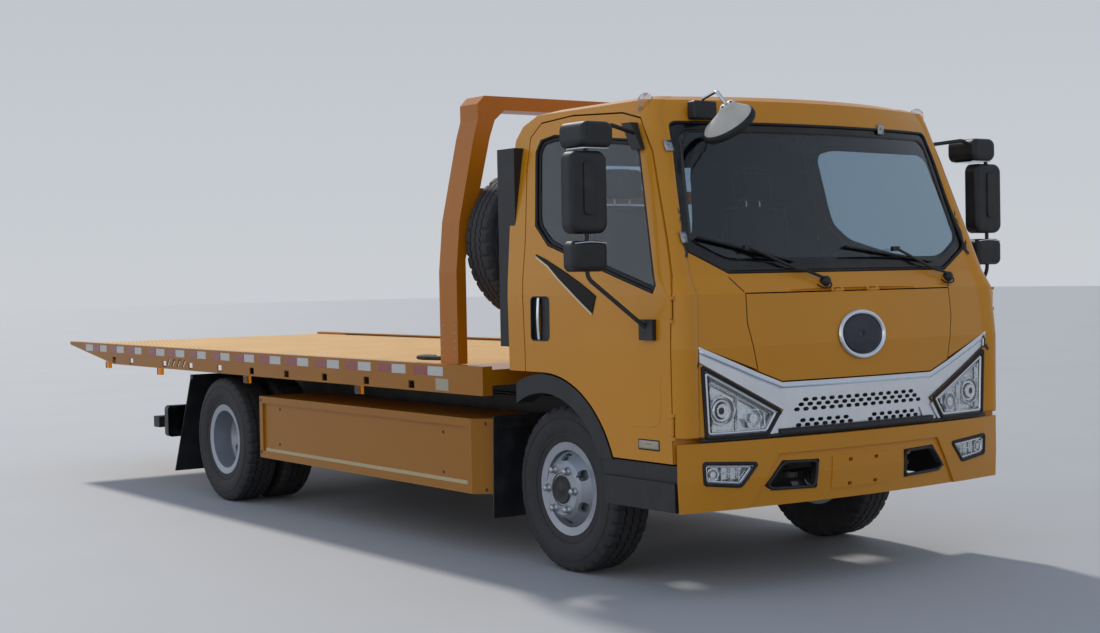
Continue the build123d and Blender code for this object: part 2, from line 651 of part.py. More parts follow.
def door_hinge_pins(side):
    """The door's hinge pins, each held above and below the door's knuckle."""
    x, y = DOOR_HINGE[0], side * DOOR_HINGE[1]
    ends = sorted((side * (DOOR_HINGE[1] - 9), side * (DOOR_HINGE[1] + 5)))
    body = None
    for z in DOOR_HINGE_Z:
        parts = [rod_z(x, y, z - 60, z + 60, HINGE_PIN_RADIUS)]
        for z_low in (z - 60, z + 45):
            parts.append(block(x - HINGE_PIN_RADIUS, x + 16, *ends, z_low, z_low + 15))
        for shape in parts:
            body = shape if body is None else body + shape
    return body


def door_knuckles():
    """The left door's knuckles."""
    x, y = DOOR_HINGE
    body = None
    for z in DOOR_HINGE_Z:
        leaf = block(x - 24, x, y - 9, y + 5, z - 40, z + 40) + rod_z(x, y, z - 40, z + 40, HINGE_RADIUS)
        body = leaf if body is None else body + leaf
    return body


def door_hinge_bores():
    return rod_z(*DOOR_HINGE, DOOR_HINGE_Z[0] - 60, DOOR_HINGE_Z[1] + 60, HINGE_PIN_RADIUS + PIN_PLAY)


outer_form = cab_form(0)
inner_form = cab_form(WALL)
trimmed = outer_form - under_cab(0)
side_wall = trimmed & side_slab(WALL)

door_reach = (700, CAB_HALF + 100)
door_face = make_face(Polyline(*DOOR_OUTLINE, close=True))
door_hole = across(offset(door_face, DOOR_GAP, kind=Kind.INTERSECTION), *door_reach) & side_slab(WALL + DOOR_GAP)
window_face = make_face(Polyline(*WINDOW_OUTLINE, close=True))
lid_face = make_face(Polyline(*LID_OUTLINE, close=True))
nose_reach = (ahead(900), ahead(1250))

shell = trimmed - (inner_form - under_cab(WALL))
shell -= door_hole
shell -= other_side(door_hole)
shell -= along(offset(lid_face, LID_GAP, kind=Kind.INTERSECTION), *nose_reach)
shell -= front_plate(SCREEN_OUTLINE, ahead(450), ahead(1250))
shell -= front_plate(REAR_WINDOW, ahead(-500), ahead(-200))
shell -= front_plate(BAND_HOLE, *nose_reach)
for outline in (LAMP_OUTLINE, [(-y, z) for y, z in LAMP_OUTLINE]):
    shell -= front_plate(outline, *nose_reach)
shell -= rod_y(LID_HINGE[0], -LID_RELIEF_HALF, LID_RELIEF_HALF, LID_HINGE[1], HINGE_RADIUS + 5)
for side in (-1, 1):
    for z in DOOR_HINGE_Z:
        shell -= rod_z(DOOR_HINGE[0], side * DOOR_HINGE[1], z - 45, z + 45, HINGE_RADIUS + 5)
    shell += bumper_bracket(side)
    shell += lid_hinge_pin(side)
    shell += door_hinge_pins(side)
    ends = sorted((side * 458, side * (TUNNEL_HALF + 4)))
    lug = side_plate([(CAB_PIVOT_X - 40, 588), (CAB_PIVOT_X + 40, 588), (CAB_PIVOT_X + 40, 720), (CAB_PIVOT_X - 40, 720)], *ends)
    lug += rod_y(CAB_PIVOT_X, *ends, CAB_PIVOT_Z, 36)
    lug -= rod_y(CAB_PIVOT_X, -600, 600, CAB_PIVOT_Z, CAB_PIN_RADIUS + PIN_PLAY)
    shell += lug
write("cab_shell", shell)
lid = (outer_form - inner_form) & along(lid_face, *nose_reach)
for side in (-1, 1):
    lid += lid_knuckle(side)
write("front_lid", lid)


# Perforated band under the lid
BAND_LIP = 30
BAND_LIP_DEPTH = 7
BAND_RECESS = symmetric([(-455, 740), (-425, 806)])
BAND_RECESS_DEPTH = 13
HOLE_HALF = (19, 9)
HOLE_SHOULDER = 11
HOLE_PITCH = 55
# Rows of holes: height, Y of the first hole, holes
HOLE_ROWS = (
    (889, -357, 14), (867, -385, 15), (845, -412, 16),
    (791, -371, 6), (791, 96, 6), (770, -398, 7), (770, 68, 7),
)


def hex_holes():
    """The rows of flattened six-sided holes, as one drawing in Y and Z."""
    half_width, half_height = HOLE_HALF
    corners = [(-half_width, 0), (-HOLE_SHOULDER, half_height), (HOLE_SHOULDER, half_height)]
    corners += [(-y, -z) for y, z in corners]
    hole = make_face(Polyline(*corners, close=True))
    return [Pos(first + index * HOLE_PITCH, height) * hole for height, first, holes in HOLE_ROWS for index in range(holes)]


def grille():
    """The band between the headlamps: a raised upper lip, a recessed foot and its rows of holes."""
    band = (outer_form - inner_form) & front_plate(BAND_OUTLINE, *nose_reach)
    below_lip = front_plate([(y, z - BAND_LIP) for y, z in BAND_OUTLINE], *nose_reach)
    band -= (outer_form - cab_form(BAND_LIP_DEPTH)) & below_lip
    band -= (outer_form - cab_form(BAND_RECESS_DEPTH)) & front_plate(BAND_RECESS, *nose_reach)
    return band - [along(hole, *nose_reach) for hole in hex_holes()]


write("grille", grille())


# Lamp housings, open in front of their reflector bowls
LAMP_RIM = 13
LAMP_DEPTH = 32
BOWL_WALL = 9
BOWL_SETBACK = 7
BULB_SHARE = 0.45
# Reflector bowls: Y, Z, radius, corners
HEAD_BOWLS = ((-838, 862, 72, 8), (-668, 818, 50, 6))
FOG_BOWLS = ((-900, 574, 34, 8),)


def lamp_housing(outline, form, wall, bowls):
    """A lamp that follows the form of its panel, hollowed behind its rim, with its bowls and bulbs."""
    face = make_face(Polyline(*outline, close=True))
    floor = form(LAMP_DEPTH)
    housing = (form(0) - form(wall)) & along(face, *nose_reach)
    housing -= (form(0) - floor) & along(offset(face, -LAMP_RIM, kind=Kind.INTERSECTION), *nose_reach)
    space = form(BOWL_SETBACK) - form(LAMP_DEPTH + 2)
    for y, z, radius, corners in bowls:
        wall_face = RegularPolygon(radius, corners) - Circle(radius - BOWL_WALL)
        for drawing in (wall_face, Circle(BULB_SHARE * radius)):
            housing += along(Pos(y, z) * drawing, *nose_reach) & space
    return housing


lamp_right = lamp_housing(LAMP_OUTLINE, cab_form, WALL, HEAD_BOWLS)


HANDLE_X = (ahead(-106), ahead(50))
HANDLE_Z = (1171, 1387)
HANDLE_DEPTH = 20
HANDLE_CORNER = 26
HANDLE_BAR_RADIUS = 8


def handle_recess():
    """The pocket behind the door's upright handle."""
    pocket = block(*HANDLE_X, *door_reach, *HANDLE_Z)
    return fillet(pocket.edges().filter_by(Axis.Y), HANDLE_CORNER) & side_slab(HANDLE_DEPTH)


def door(side):
    """One door, cut out of the side wall, with its window opening and its handle."""
    window = across(window_face, *door_reach)
    panel = side_wall & across(door_face, *door_reach)
    panel -= window
    panel -= handle_recess()
    panel += rod_z(HANDLE_X[0] + 55, CAB_HALF - HANDLE_BAR_RADIUS, HANDLE_Z[0] - 4, HANDLE_Z[1] + 4, HANDLE_BAR_RADIUS)
    panel += door_knuckles()
    panel -= door_hinge_bores()
    return panel if side > 0 else other_side(panel)


def door_glass(side):
    window = across(window_face, *door_reach)
    pane = (cab_form(18) - cab_form(24)) & window
    return pane if side > 0 else other_side(pane)


for side, name in ((-1, "right"), (1, "left")):
    write(f"door_{name}", door(side))
    write(f"door_glass_{name}", door_glass(side))

screen = (cab_form(10) - cab_form(16)) & front_plate(SCREEN_OUTLINE, ahead(450), ahead(1250))
rear_pane = (cab_form(18) - cab_form(24)) & front_plate(REAR_WINDOW, ahead(-500), ahead(-200))
write("cab_glass", Compound(children=[screen, rear_pane]))


# Bumper and low front lamps
FOG_OUTLINE = [(-955, 632), (-657, 613), (-751, 509), (-949, 531)]
HOOK_OUTLINE = [(-511, 613), (-289, 606), (-298, 467), (-568, 475), (-609, 501)]


APRON_OUTLINE = symmetric([(-700, 400), (-540, 648)])
APRON_DEPTH = 11
PLATE_PANEL = symmetric([(-205, 455), (-205, 612)])
PLATE_PANEL_DEPTH = 6
PLATE_SLOT = (13, 8)
PLATE_SLOT_PLACES = [(y, z) for y in (-87, 87) for z in (472, 588)]


def bumper():
    """The bumper's skin, its apron set back between the fog lamps, and its openings."""
    skin = bumper_form(0) - bumper_form(BUMPER_WALL)
    panel = front_plate(PLATE_PANEL, ahead(950), ahead(1250))
    apron = front_plate(APRON_OUTLINE, ahead(950), ahead(1250)) - panel
    skin -= apron & (bumper_form(0) - bumper_form(APRON_DEPTH))
    skin -= panel & (bumper_form(0) - bumper_form(PLATE_PANEL_DEPTH))
    for y, z in PLATE_SLOT_PLACES:
        skin -= block(ahead(950), ahead(1250), y - PLATE_SLOT[0], y + PLATE_SLOT[0], z - PLATE_SLOT[1], z + PLATE_SLOT[1])
    for outline in (FOG_OUTLINE, HOOK_OUTLINE):
        skin -= front_plate(outline, ahead(950), ahead(1250))
        skin -= front_plate([(-y, z) for y, z in outline], ahead(950), ahead(1250))
    return skin


write("bumper", bumper())
fog_right = lamp_housing(FOG_OUTLINE, bumper_form, BUMPER_WALL, FOG_BOWLS)
lamps = [lamp_right, other_side(lamp_right), fog_right, other_side(fog_right)]
write("front_lamps", Compound(children=lamps))


# Black arch flares and steps
FLARE_OUTER = ARCH_RADIUS - 10
FLARE_INNER = 496
FLARE_IN_Y = 985
FLARE_OUT_Y = CAB_HALF + 2
FLARE_SEAT_Y = CAB_HALF - WALL - DOOR_GAP - 5
STEP_FRONT_X = ahead(1003)
STEP_LOW = 410
STEP_RIDGE = 530
STEP_RIDGE_HEIGHT = 14
STEP_SET_BACK = 16
STEP_TOP = SILL_Z - 10


def arch_and_step():
    ring = rod_y(ARCH_X, FLARE_IN_Y, FLARE_OUT_Y, ARCH_Z, FLARE_OUTER) - rod_y(ARCH_X, FLARE_IN_Y, FLARE_OUT_Y, ARCH_Z, FLARE_INNER)
    ring += rod_y(ARCH_X, FLARE_IN_Y, FLARE_SEAT_Y, ARCH_Z, ARCH_RADIUS) - rod_y(ARCH_X, FLARE_IN_Y, FLARE_SEAT_Y, ARCH_Z, FLARE_INNER)
    ring &= block(ahead(-250), ahead(700), 0, 1300, STEP_TOP, 1100)
    step = block(ahead(300), STEP_FRONT_X, 860, FLARE_OUT_Y, STEP_LOW, STEP_TOP)
    step += block(ahead(620), ahead(960), FLARE_IN_Y, FLARE_SEAT_Y, STEP_TOP, SILL_Z)
    step -= block(ahead(300), STEP_FRONT_X, FLARE_OUT_Y - STEP_SET_BACK, FLARE_OUT_Y, STEP_RIDGE + STEP_RIDGE_HEIGHT, STEP_TOP)
    step -= rod_y(ARCH_X, 800, 1200, ARCH_Z, FLARE_INNER)
    return ring + step


write("arches_and_steps", pair(arch_and_step()))


# Cab inside
FLOOR_Z = ARCH_Z + ARCH_RADIUS + WALL


def seat(y, width):
    base = block(ahead(-150), ahead(330), y - width / 2, y + width / 2, FLOOR_Z + SEAT_GAP, FLOOR_Z + 300)
    back = side_plate([(ahead(-150), FLOOR_Z + 200), (ahead(-40), FLOOR_Z + 200), (ahead(-120), 1860), (ahead(-210), 1860)],
                      y - width / 2, y + width / 2)
    head = block(ahead(-215), ahead(-135), y - 130, y + 130, 1860, 2050)
    return base + back + head


write("seats", Compound(children=[seat(480, 500), seat(-440, 620)]))


def dashboard():
    bottom = TUNNEL_TOP + WALL
    profile = [(ahead(640), bottom), (ahead(560), 1250), (ahead(600), 1420), (ahead(860), 1440), (ahead(960), 1350), (ahead(960), bottom)]
    body = side_plate(profile, -900, 900)
    wheel_plane = Plane(origin=(ahead(440), 480, 1500), x_dir=(0, 1, 0), z_dir=(-0.6, 0, 0.8))
    wheel = wheel_plane * Torus(200, 14)
    column = bent_tube([(ahead(440), 480, 1500), (ahead(620), 480, 1260)], 22, 1)
    spokes = wheel_plane * Box(400, 50, 14)
    return body + wheel + column + spokes


write("dashboard", dashboard())

DUCT_Y = (-1040, -900)
DUCT_X = (ahead(-455), ahead(-300))
DUCT_Z = (1130, 2150)
write("air_duct", block(*DUCT_X, *DUCT_Y, *DUCT_Z) - outer_form)


# Lamps and mirrors on the cab
ROOF_LAMP = (ahead(640), 925)
ROOF_LAMP_BASE_Z = 2308
ROOF_LAMP_RADIUS = 38


def roof_lamp():
    """A round lamp with a domed cover, seated on the roof's front corner."""
    base = rod_z(*ROOF_LAMP, ROOF_LAMP_BASE_Z - 60, ROOF_LAMP_BASE_Z, ROOF_LAMP_RADIUS)
    dome = Pos(*ROOF_LAMP, ROOF_LAMP_BASE_Z) * Sphere(ROOF_LAMP_RADIUS)
    return base + dome - outer_form


write("roof_lamps", pair(roof_lamp()))

MIRROR_ARM_RADIUS = 10
BOWL_MIDDLE = (ahead(985), -740, 2165)
BOWL_OUTWARD = (0.36, -0.5, 0.79)
BOWL_ALONG = (0.81, 0.583, 0)
BOWL_RIM = (132, 98)
BOWL_RIM_DEPTH = 26
BOWL_CROWN = (58, 40)
BOWL_DEPTH = 92


def front_mirror():
    """An oval mirror bowl that looks down before the bumper, on a wire from the roof's edge."""
    rim = Plane(origin=BOWL_MIDDLE, x_dir=BOWL_ALONG, z_dir=BOWL_OUTWARD)
    bowl = extrude(rim * Ellipse(*BOWL_RIM), BOWL_RIM_DEPTH)
    bowl += loft([rim.offset(BOWL_RIM_DEPTH) * Ellipse(*BOWL_RIM), rim.offset(BOWL_DEPTH) * Ellipse(*BOWL_CROWN)])
    crown = rim.offset(BOWL_DEPTH - 20).origin
    arm = bent_tube([(ahead(700), -870, 2215), (ahead(900), -860, 2330), (crown.X, crown.Y, crown.Z)], MIRROR_ARM_RADIUS, 30)
    return bowl + arm - outer_form


write("front_mirror", front_mirror())

# Door mirrors' housings: X low and high, Y low and high, Z low and high, corner radius
MAIN_MIRROR = (ahead(688), ahead(768), -1460, -1250, 1680, 2055, 48)
WIDE_MIRROR = (ahead(690), ahead(768), -1455, -1255, 1508, 1648, 34)
KERB_MIRROR = (ahead(600), ahead(780), -1400, -1220, 2070, 2190, 40)
HOUSING_CROWN = 28


def mirror_housing(x_low, x_high, y_low, y_high, z_low, z_high, corner):
    """A moulded housing with rounded corners, crowned on the side that faces forwards."""
    housing = fillet(block(x_low, x_high, y_low, y_high, z_low, z_high).edges().filter_by(Axis.X), corner)
    return fillet(housing.faces().sort_by(Axis.X)[-1].edges(), HOUSING_CROWN)


def door_mirrors():
    """Arms and housings on the right door."""
    arm = bent_tube([(ahead(640), -975, 2150), (ahead(720), -1200, 2180), (ahead(740), -1360, 2080), (ahead(740), -1360, 1480),
                     (ahead(840), -1090, 1235)], MIRROR_ARM_RADIUS, 60)
    feet = side_plate([(ahead(x), z) for x, z in ((565, 2205), (635, 2205), (712, 2075), (640, 2075))], -1015, -950)
    feet += block(ahead(790), ahead(890), -1110, -1070, 1190, 1285)
    housings = [mirror_housing(*row) for row in (MAIN_MIRROR, WIDE_MIRROR, KERB_MIRROR)]
    return arm + housings + feet - outer_form


mirrors = door_mirrors()
write("mirrors_right", mirrors)
write("mirrors_left", other_side(mirrors))


# Tilt frame and its cylinders
TILT_FRONT_X = ahead(-620)
TILT_REAR_X = behind(-1260)
RAM_RADIUS = 45
RAM_ROD_RADIUS = 25
SLIDE_BARREL_RADIUS = 38
SLIDE_ROD_RADIUS = 22
SLIDE_Z = 872
SLIDE_STROKE = 2600
SLOT_PLAY = 1
BED_FRONT_X = ahead(-466)
TAPER_START_X = ahead(-5636)
BEAM_COUNT = 11
BEAM_HALF = 30
BEAM_PITCH = (BED_FRONT_X - TAPER_START_X - 2 * BEAM_HALF) / (BEAM_COUNT - 1)
SLIDE_LUG_X = BED_FRONT_X - BEAM_HALF - 8 * BEAM_PITCH
SLIDE_BARREL = (SLIDE_LUG_X + 60 + SLIDE_STROKE + 200, SLIDE_LUG_X + 60)


EYE_LUG = [(TILT_EYE[0] + x, TILT_EYE[1] + z) for x, z in (
    (-34, -18), (-18, -36), (60, -58), (130, -54), (130, -24), (62, 16), (22, 34), (-18, 34), (-34, 18),
)]
SLOT_END = (TILT_EYE[0] + 28.2, TILT_EYE[1] - 13.6)


def slotted_lug(y_low, y_high):
    """A lug whose slot lets the rod's pin run down and forwards while the bed tilts."""
    radius = TILT_PIN_RADIUS + SLOT_PLAY
    lug = side_plate(EYE_LUG, y_low, y_high)
    reach = math.hypot(SLOT_END[0] - TILT_EYE[0], SLOT_END[1] - TILT_EYE[1])
    across_x = radius * (TILT_EYE[1] - SLOT_END[1]) / reach
    across_z = radius * (SLOT_END[0] - TILT_EYE[0]) / reach
    sides = [(x + turn * across_x, z + turn * across_z)
             for (x, z), turn in ((TILT_EYE, 1), (SLOT_END, 1), (SLOT_END, -1), (TILT_EYE, -1))]
    lug -= side_plate(sides, y_low, y_high)
    for x, z in (TILT_EYE, SLOT_END):
        lug -= rod_y(x, y_low, y_high, z, radius)
    return lug


def tilt_frame():
    rail = channel(TILT_REAR_X, TILT_FRONT_X, TILT_INNER_Y, TILT_OUTER_Y, TILT_BOTTOM, TILT_TOP, TILT_WALL)
    lug = rod_y(BED_PIVOT_X, TILT_INNER_Y + 10, TILT_OUTER_Y - 2, BED_PIVOT_Z, 38)
    lug += block(BED_PIVOT_X - 38, BED_PIVOT_X + 38, TILT_INNER_Y + 10, TILT_OUTER_Y - 2, BED_PIVOT_Z, TILT_BOTTOM + 10)
    lug -= rod_y(BED_PIVOT_X, 300, 500, BED_PIVOT_Z, BED_PIN_RADIUS + PIN_PLAY)
    half = rail - rod_y(BED_PIVOT_X, 300, 500, BED_PIVOT_Z, BED_PIN_RADIUS + PIN_PLAY) + lug
    frame = half + other_side(half)
    for x in (ahead(-680), ahead(-1450), ahead(-2200), SLIDE_BARREL[1] + 24, behind(-1200)):
        frame += block(x - 30, x + 30, -TILT_INNER_Y, TILT_INNER_Y, TILT_BOTTOM + 2, TILT_BOTTOM + 22)
    for side in (-1, 1):
        for y_lug in FORK_Y:
            frame += slotted_lug(*sorted((side * y_lug, side * (y_lug + FORK_THICK))))
    return frame


write("tilt_frame", tilt_frame())

RAM_ANGLE = math.atan2(TILT_EYE[1] - TILT_BASE[1], TILT_EYE[0] - TILT_BASE[0])
RAM_LENGTH = math.hypot(TILT_EYE[1] - TILT_BASE[1], TILT_EYE[0] - TILT_BASE[0])
BARREL_LENGTH = RAM_LENGTH - 130


def on_ram(shape, side):
    """Brings a shape drawn along X from the ram's base to its real place."""
    return Pos(TILT_BASE[0], side * CYLINDER_Y, TILT_BASE[1]) * Rot(0, -math.degrees(RAM_ANGLE), 0) * shape


def ram_barrel():
    barrel = rod_x(40, BARREL_LENGTH, 0, 0, RAM_RADIUS)
    eye = rod_y(0, -25, 25, 0, 36) + block(0, 60, -25, 25, -30, 30)
    bore = rod_x(90, BARREL_LENGTH + 1, 0, 0, RAM_ROD_RADIUS + 0.1)
    return barrel + eye - rod_y(0, -30, 30, 0, TILT_PIN_RADIUS + PIN_PLAY) - bore


def ram_rod():
    """The rod with its eye, and the pin that runs in the slots of the tilt frame's lugs."""
    pin_half = FORK_Y[1] + FORK_THICK - CYLINDER_Y + 2
    rod = rod_x(100, RAM_LENGTH, 0, 0, RAM_ROD_RADIUS) + rod_y(RAM_LENGTH, -27, 27, 0, 34)
    return rod + rod_y(RAM_LENGTH, -pin_half, pin_half, 0, TILT_PIN_RADIUS)


write("tilt_barrels", Compound(children=[on_ram(ram_barrel(), side) for side in (-1, 1)]))
write("tilt_rods", Compound(children=[on_ram(ram_rod(), side) for side in (-1, 1)]))

slide_barrel = rod_x(SLIDE_BARREL[1], SLIDE_BARREL[0], 0, SLIDE_Z, SLIDE_BARREL_RADIUS)
slide_barrel -= rod_x(SLIDE_BARREL[1] - 1, SLIDE_BARREL[0] - 30, 0, SLIDE_Z, SLIDE_ROD_RADIUS + 0.1)
for x in (ahead(-2200), SLIDE_BARREL[1] + 34):
    slide_barrel += block(x - 25, x + 25, -30, 30, TILT_BOTTOM + 22, SLIDE_Z) - rod_x(
        SLIDE_BARREL[1] - 1, SLIDE_BARREL[0] - 30, 0, SLIDE_Z, SLIDE_ROD_RADIUS + 0.1)
write("slide_cylinder", slide_barrel)


# Bed
BED_HALF = BED_WIDTH / 2
BED_REAR_X = -LENGTH / 2
BED_RAIL_LOW = 874
BED_RAIL_WIDTH = 60
BED_RAIL_WALL = 8
DECK_PLATE_TOP = DECK_HEIGHT - 18
DECK_PLATE = 5
BEAM_LOW = TILT_TOP + SLIDE_GAP
RUNNER_TOP = BEAM_LOW + 20
TAIL_HEIGHT = 24
SHELF_REAR_X = ahead(-1000)
LOUVRE_X = (-4575, -4483, -4391, -4299)
LOUVRE_Z = (892, 946)
LOUVRE_LEAN = 44
LOUVRE_WIDTH = 26
RAIL_HOLES_X = (-5620, -5272, -4647, -4186, -3708, -3210, -2712, -2207, -1695, -1188)


def bed_side_rail():
    outline = [
        (BED_FRONT_X, BED_RAIL_LOW), (BED_FRONT_X, DECK_HEIGHT), (BED_REAR_X, DECK_HEIGHT),
        (BED_REAR_X, DECK_HEIGHT - TAIL_HEIGHT), (TAPER_START_X, BED_RAIL_LOW),
    ]
    solid = side_plate(outline, BED_HALF - BED_RAIL_WIDTH, BED_HALF)
    hollow = [
        (BED_FRONT_X - BED_RAIL_WALL, BED_RAIL_LOW + BED_RAIL_WALL), (BED_FRONT_X - BED_RAIL_WALL, DECK_HEIGHT - BED_RAIL_WALL),
        (BED_REAR_X + 500, DECK_HEIGHT - BED_RAIL_WALL), (TAPER_START_X, BED_RAIL_LOW + BED_RAIL_WALL + 6),
    ]
    solid -= side_plate(hollow, BED_HALF - BED_RAIL_WIDTH, BED_HALF - BED_RAIL_WALL)
    for x in RAIL_HOLES_X:
        solid -= block(ahead(x) - 32, ahead(x) + 32, BED_HALF - 20, BED_HALF + 5, 885, 928)
    for x in LOUVRE_X:
        low, high = LOUVRE_Z
        foot = ahead(x) - (LOUVRE_LEAN + LOUVRE_WIDTH) / 2
        slot = [(foot, low), (foot + LOUVRE_WIDTH, low), (foot + LOUVRE_WIDTH + LOUVRE_LEAN, high), (foot + LOUVRE_LEAN, high)]
        solid -= side_plate(slot, BED_HALF - 20, BED_HALF + 5)
    return solid


def bed_runner():
    """The bar that slides on the tilt frame's rail, with the keepers that grip the rail's flange."""
    runner = block(TAPER_START_X, BED_FRONT_X - 100, TILT_INNER_Y, TILT_OUTER_Y, BEAM_LOW, RUNNER_TOP)
    for x in (-1000, -2300, -4400):
        ends = (ahead(x) - 60, ahead(x) + 60)
        runner += block(*ends, TILT_OUTER_Y + 6, TILT_OUTER_Y + 14, 858, RUNNER_TOP)
        runner += block(*ends, TILT_OUTER_Y - 12, TILT_OUTER_Y + 14, 858, 866)
        runner += block(*ends, TILT_OUTER_Y - 5, TILT_OUTER_Y + 14, BEAM_LOW, RUNNER_TOP)
    return runner


def bed_frame():
    """The side rails, the runners, the cross beams, the tapered tail and the shelf under the winch."""
    inner = BED_HALF - BED_RAIL_WIDTH
    beam_top = DECK_PLATE_TOP - DECK_PLATE
    pieces = [bed_side_rail(), other_side(bed_side_rail()), bed_runner(), other_side(bed_runner())]
    for index in range(BEAM_COUNT):
        x = BED_FRONT_X - BEAM_HALF - index * BEAM_PITCH
        pieces.append(block(x - BEAM_HALF, x + BEAM_HALF, -inner, inner, RUNNER_TOP, beam_top))
    pieces.append(side_plate([(TAPER_START_X, 920), (TAPER_START_X, beam_top), (BED_REAR_X, beam_top),
                              (BED_REAR_X, DECK_HEIGHT - TAIL_HEIGHT)], -inner, inner))
    pieces.append(block(SLIDE_LUG_X - 15, SLIDE_LUG_X + 15, -30, 30, SLIDE_Z - 30, RUNNER_TOP))
    pieces.append(block(SHELF_REAR_X, BED_FRONT_X, -inner, inner, beam_top, DECK_PLATE_TOP))
    return Compound(children=pieces)


write("bed_frame", bed_frame())
write("slide_rod", rod_x(SLIDE_LUG_X + 15, SLIDE_BARREL[0] - 40, 0, SLIDE_Z, SLIDE_ROD_RADIUS))
deck_half = BED_HALF - BED_RAIL_WIDTH
write("bed_deck", block(BED_REAR_X, SHELF_REAR_X, -deck_half, deck_half, DECK_PLATE_TOP - DECK_PLATE, DECK_PLATE_TOP))

HEAD_FRONT_X = ahead(-778)
HEAD_REAR_X = ahead(-954)
HEAD_OUTER = [(1100, DECK_HEIGHT), (1100, 1520), (1074, 1793), (973, 2244), (944, 2340), (944, 2425), (900, 2470)]
HEAD_INNER = [(1040, DECK_HEIGHT), (1040, 1590), (984, 1784), (870, 2244), (835, 2340), (770, 2396)]
CROSSBAR_Z = (1896, 1973)
SPARE_X = ahead(-655)
SPARE_Y = -640
SPARE_Z = 1672


def headboard():
    outside = front_plate([(-y, z) for y, z in HEAD_OUTER] + list(reversed(HEAD_OUTER)), HEAD_REAR_X, HEAD_FRONT_X)
    inside = front_plate([(-y, z) for y, z in HEAD_INNER] + list(reversed(HEAD_INNER)), HEAD_REAR_X, HEAD_FRONT_X)
    arch = outside - inside
    bar = block(HEAD_REAR_X + 40, HEAD_FRONT_X - 40, -975, 975, *CROSSBAR_Z) & outside
    hanger = block(HEAD_FRONT_X - 60, HEAD_FRONT_X - 40, SPARE_Y - 60, SPARE_Y + 60, SPARE_Z - 60, CROSSBAR_Z[1])
    boss = rod_x(HEAD_FRONT_X - 60, SPARE_X - DISC_FACE, SPARE_Y, SPARE_Z, DISC_FLAT_RADIUS)
    boss += rod_x(HEAD_FRONT_X - 60, SPARE_X - DISC_FACE + 60, SPARE_Y, SPARE_Z, 16)
    return arch + bar + hanger + boss


write("headboard", headboard())
write("spare_tyre", tyre(SPARE_X, SPARE_Y, SPARE_Z, (1, 0, 0)))
write("spare_rim", on_axle(rim(-1, 0), SPARE_X, SPARE_Y, SPARE_Z, (1, 0, 0)))

WINCH_X = ahead(-620)
WINCH_Z = 1150
DRUM_RADIUS = 62


def winch_frame():
    frame = block(WINCH_X - 110, WINCH_X + 110, -330, 330, DECK_PLATE_TOP, DECK_PLATE_TOP + 12)
    for y in (-260, 240):
        frame += block(WINCH_X - 90, WINCH_X + 90, y, y + 20, DECK_PLATE_TOP, WINCH_Z + 80)
        frame -= rod_y(WINCH_X, y - 1, y + 21, WINCH_Z, 20 + PIN_PLAY)
    frame += rod_y(WINCH_X, 260, 420, WINCH_Z, 70)
    return frame


def winch_drum():
    drum = rod_y(WINCH_X, -225, 225, WINCH_Z, DRUM_RADIUS)
    for y in (-235, 223):
        drum += rod_y(WINCH_X, y, y + 12, WINCH_Z, 105)
    return drum + rod_y(WINCH_X, -262, 259, WINCH_Z, 20)


write("winch_frame", winch_frame())
write("winch_drum", winch_drum())

MARKER_X = (-5773, -4757, -3310, -1807)


def marker(x, side):
    low, high = sorted((side * 1122, side * 1148))
    return block(ahead(x) - 32, ahead(x) + 32, low, high, BED_RAIL_LOW - 50, BED_RAIL_LOW)


def marker_height(x):
    """The rail's lower edge over a marker."""
    start = TAPER_START_X - FRONT_AXLE_X
    if x > start:
        return BED_RAIL_LOW
    share = (start - x) / (start - (BED_REAR_X - FRONT_AXLE_X))
    return BED_RAIL_LOW + share * (DECK_HEIGHT - TAIL_HEIGHT - BED_RAIL_LOW)


markers = [Pos(0, 0, marker_height(x + 32) - BED_RAIL_LOW) * marker(x, side) for x in MARKER_X for side in (-1, 1)]
write("side_markers", Compound(children=markers))
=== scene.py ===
# %% [markdown]
# A slide-bed tow truck, dressed for its picture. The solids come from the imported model: every panel, wheel
# and beam is already at its real size and place. This script gives each of them the finish of the real
# thing and adds what is too thin or too small for a solid: rubber seals, reflective tape, tyre tread, lamp
# bowls, wiper arms and hoses. Every length is in metres, X points forwards, Y to the truck's left and Z up.

# %% Load the frame
import math

import bpy
import bmesh
from mathutils import Matrix, Vector
from mathutils.bvhtree import BVHTree


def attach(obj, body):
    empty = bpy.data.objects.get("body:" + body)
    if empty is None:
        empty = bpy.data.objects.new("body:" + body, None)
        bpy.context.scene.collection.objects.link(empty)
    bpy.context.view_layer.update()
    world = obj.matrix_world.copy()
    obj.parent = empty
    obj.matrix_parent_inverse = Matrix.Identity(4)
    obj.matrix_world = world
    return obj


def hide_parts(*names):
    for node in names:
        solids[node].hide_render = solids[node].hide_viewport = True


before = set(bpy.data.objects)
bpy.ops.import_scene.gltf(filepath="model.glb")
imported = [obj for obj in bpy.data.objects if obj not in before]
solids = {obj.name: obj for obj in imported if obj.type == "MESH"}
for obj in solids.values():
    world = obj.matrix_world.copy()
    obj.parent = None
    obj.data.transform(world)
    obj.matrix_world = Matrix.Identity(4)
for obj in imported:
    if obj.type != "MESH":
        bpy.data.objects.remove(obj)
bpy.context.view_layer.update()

# %% [markdown]
# A photograph fixes a camera: where its lens stood, where it looked and how long the lens was. The wheels
# give it away, because their size and distance apart are known, so the lens can be worked back from them.
# The camera is made first, because each later piece is judged through it.

# %% Camera
LENS_PLACE = Vector((9.621, -5.955, 1.502))
LENS_YAW = math.radians(144.57)
LENS_PITCH = math.radians(-1.44)
LENS_ROLL = math.radians(-1.08)
LENS_MM = 55.55
FILM_MM = 36.0


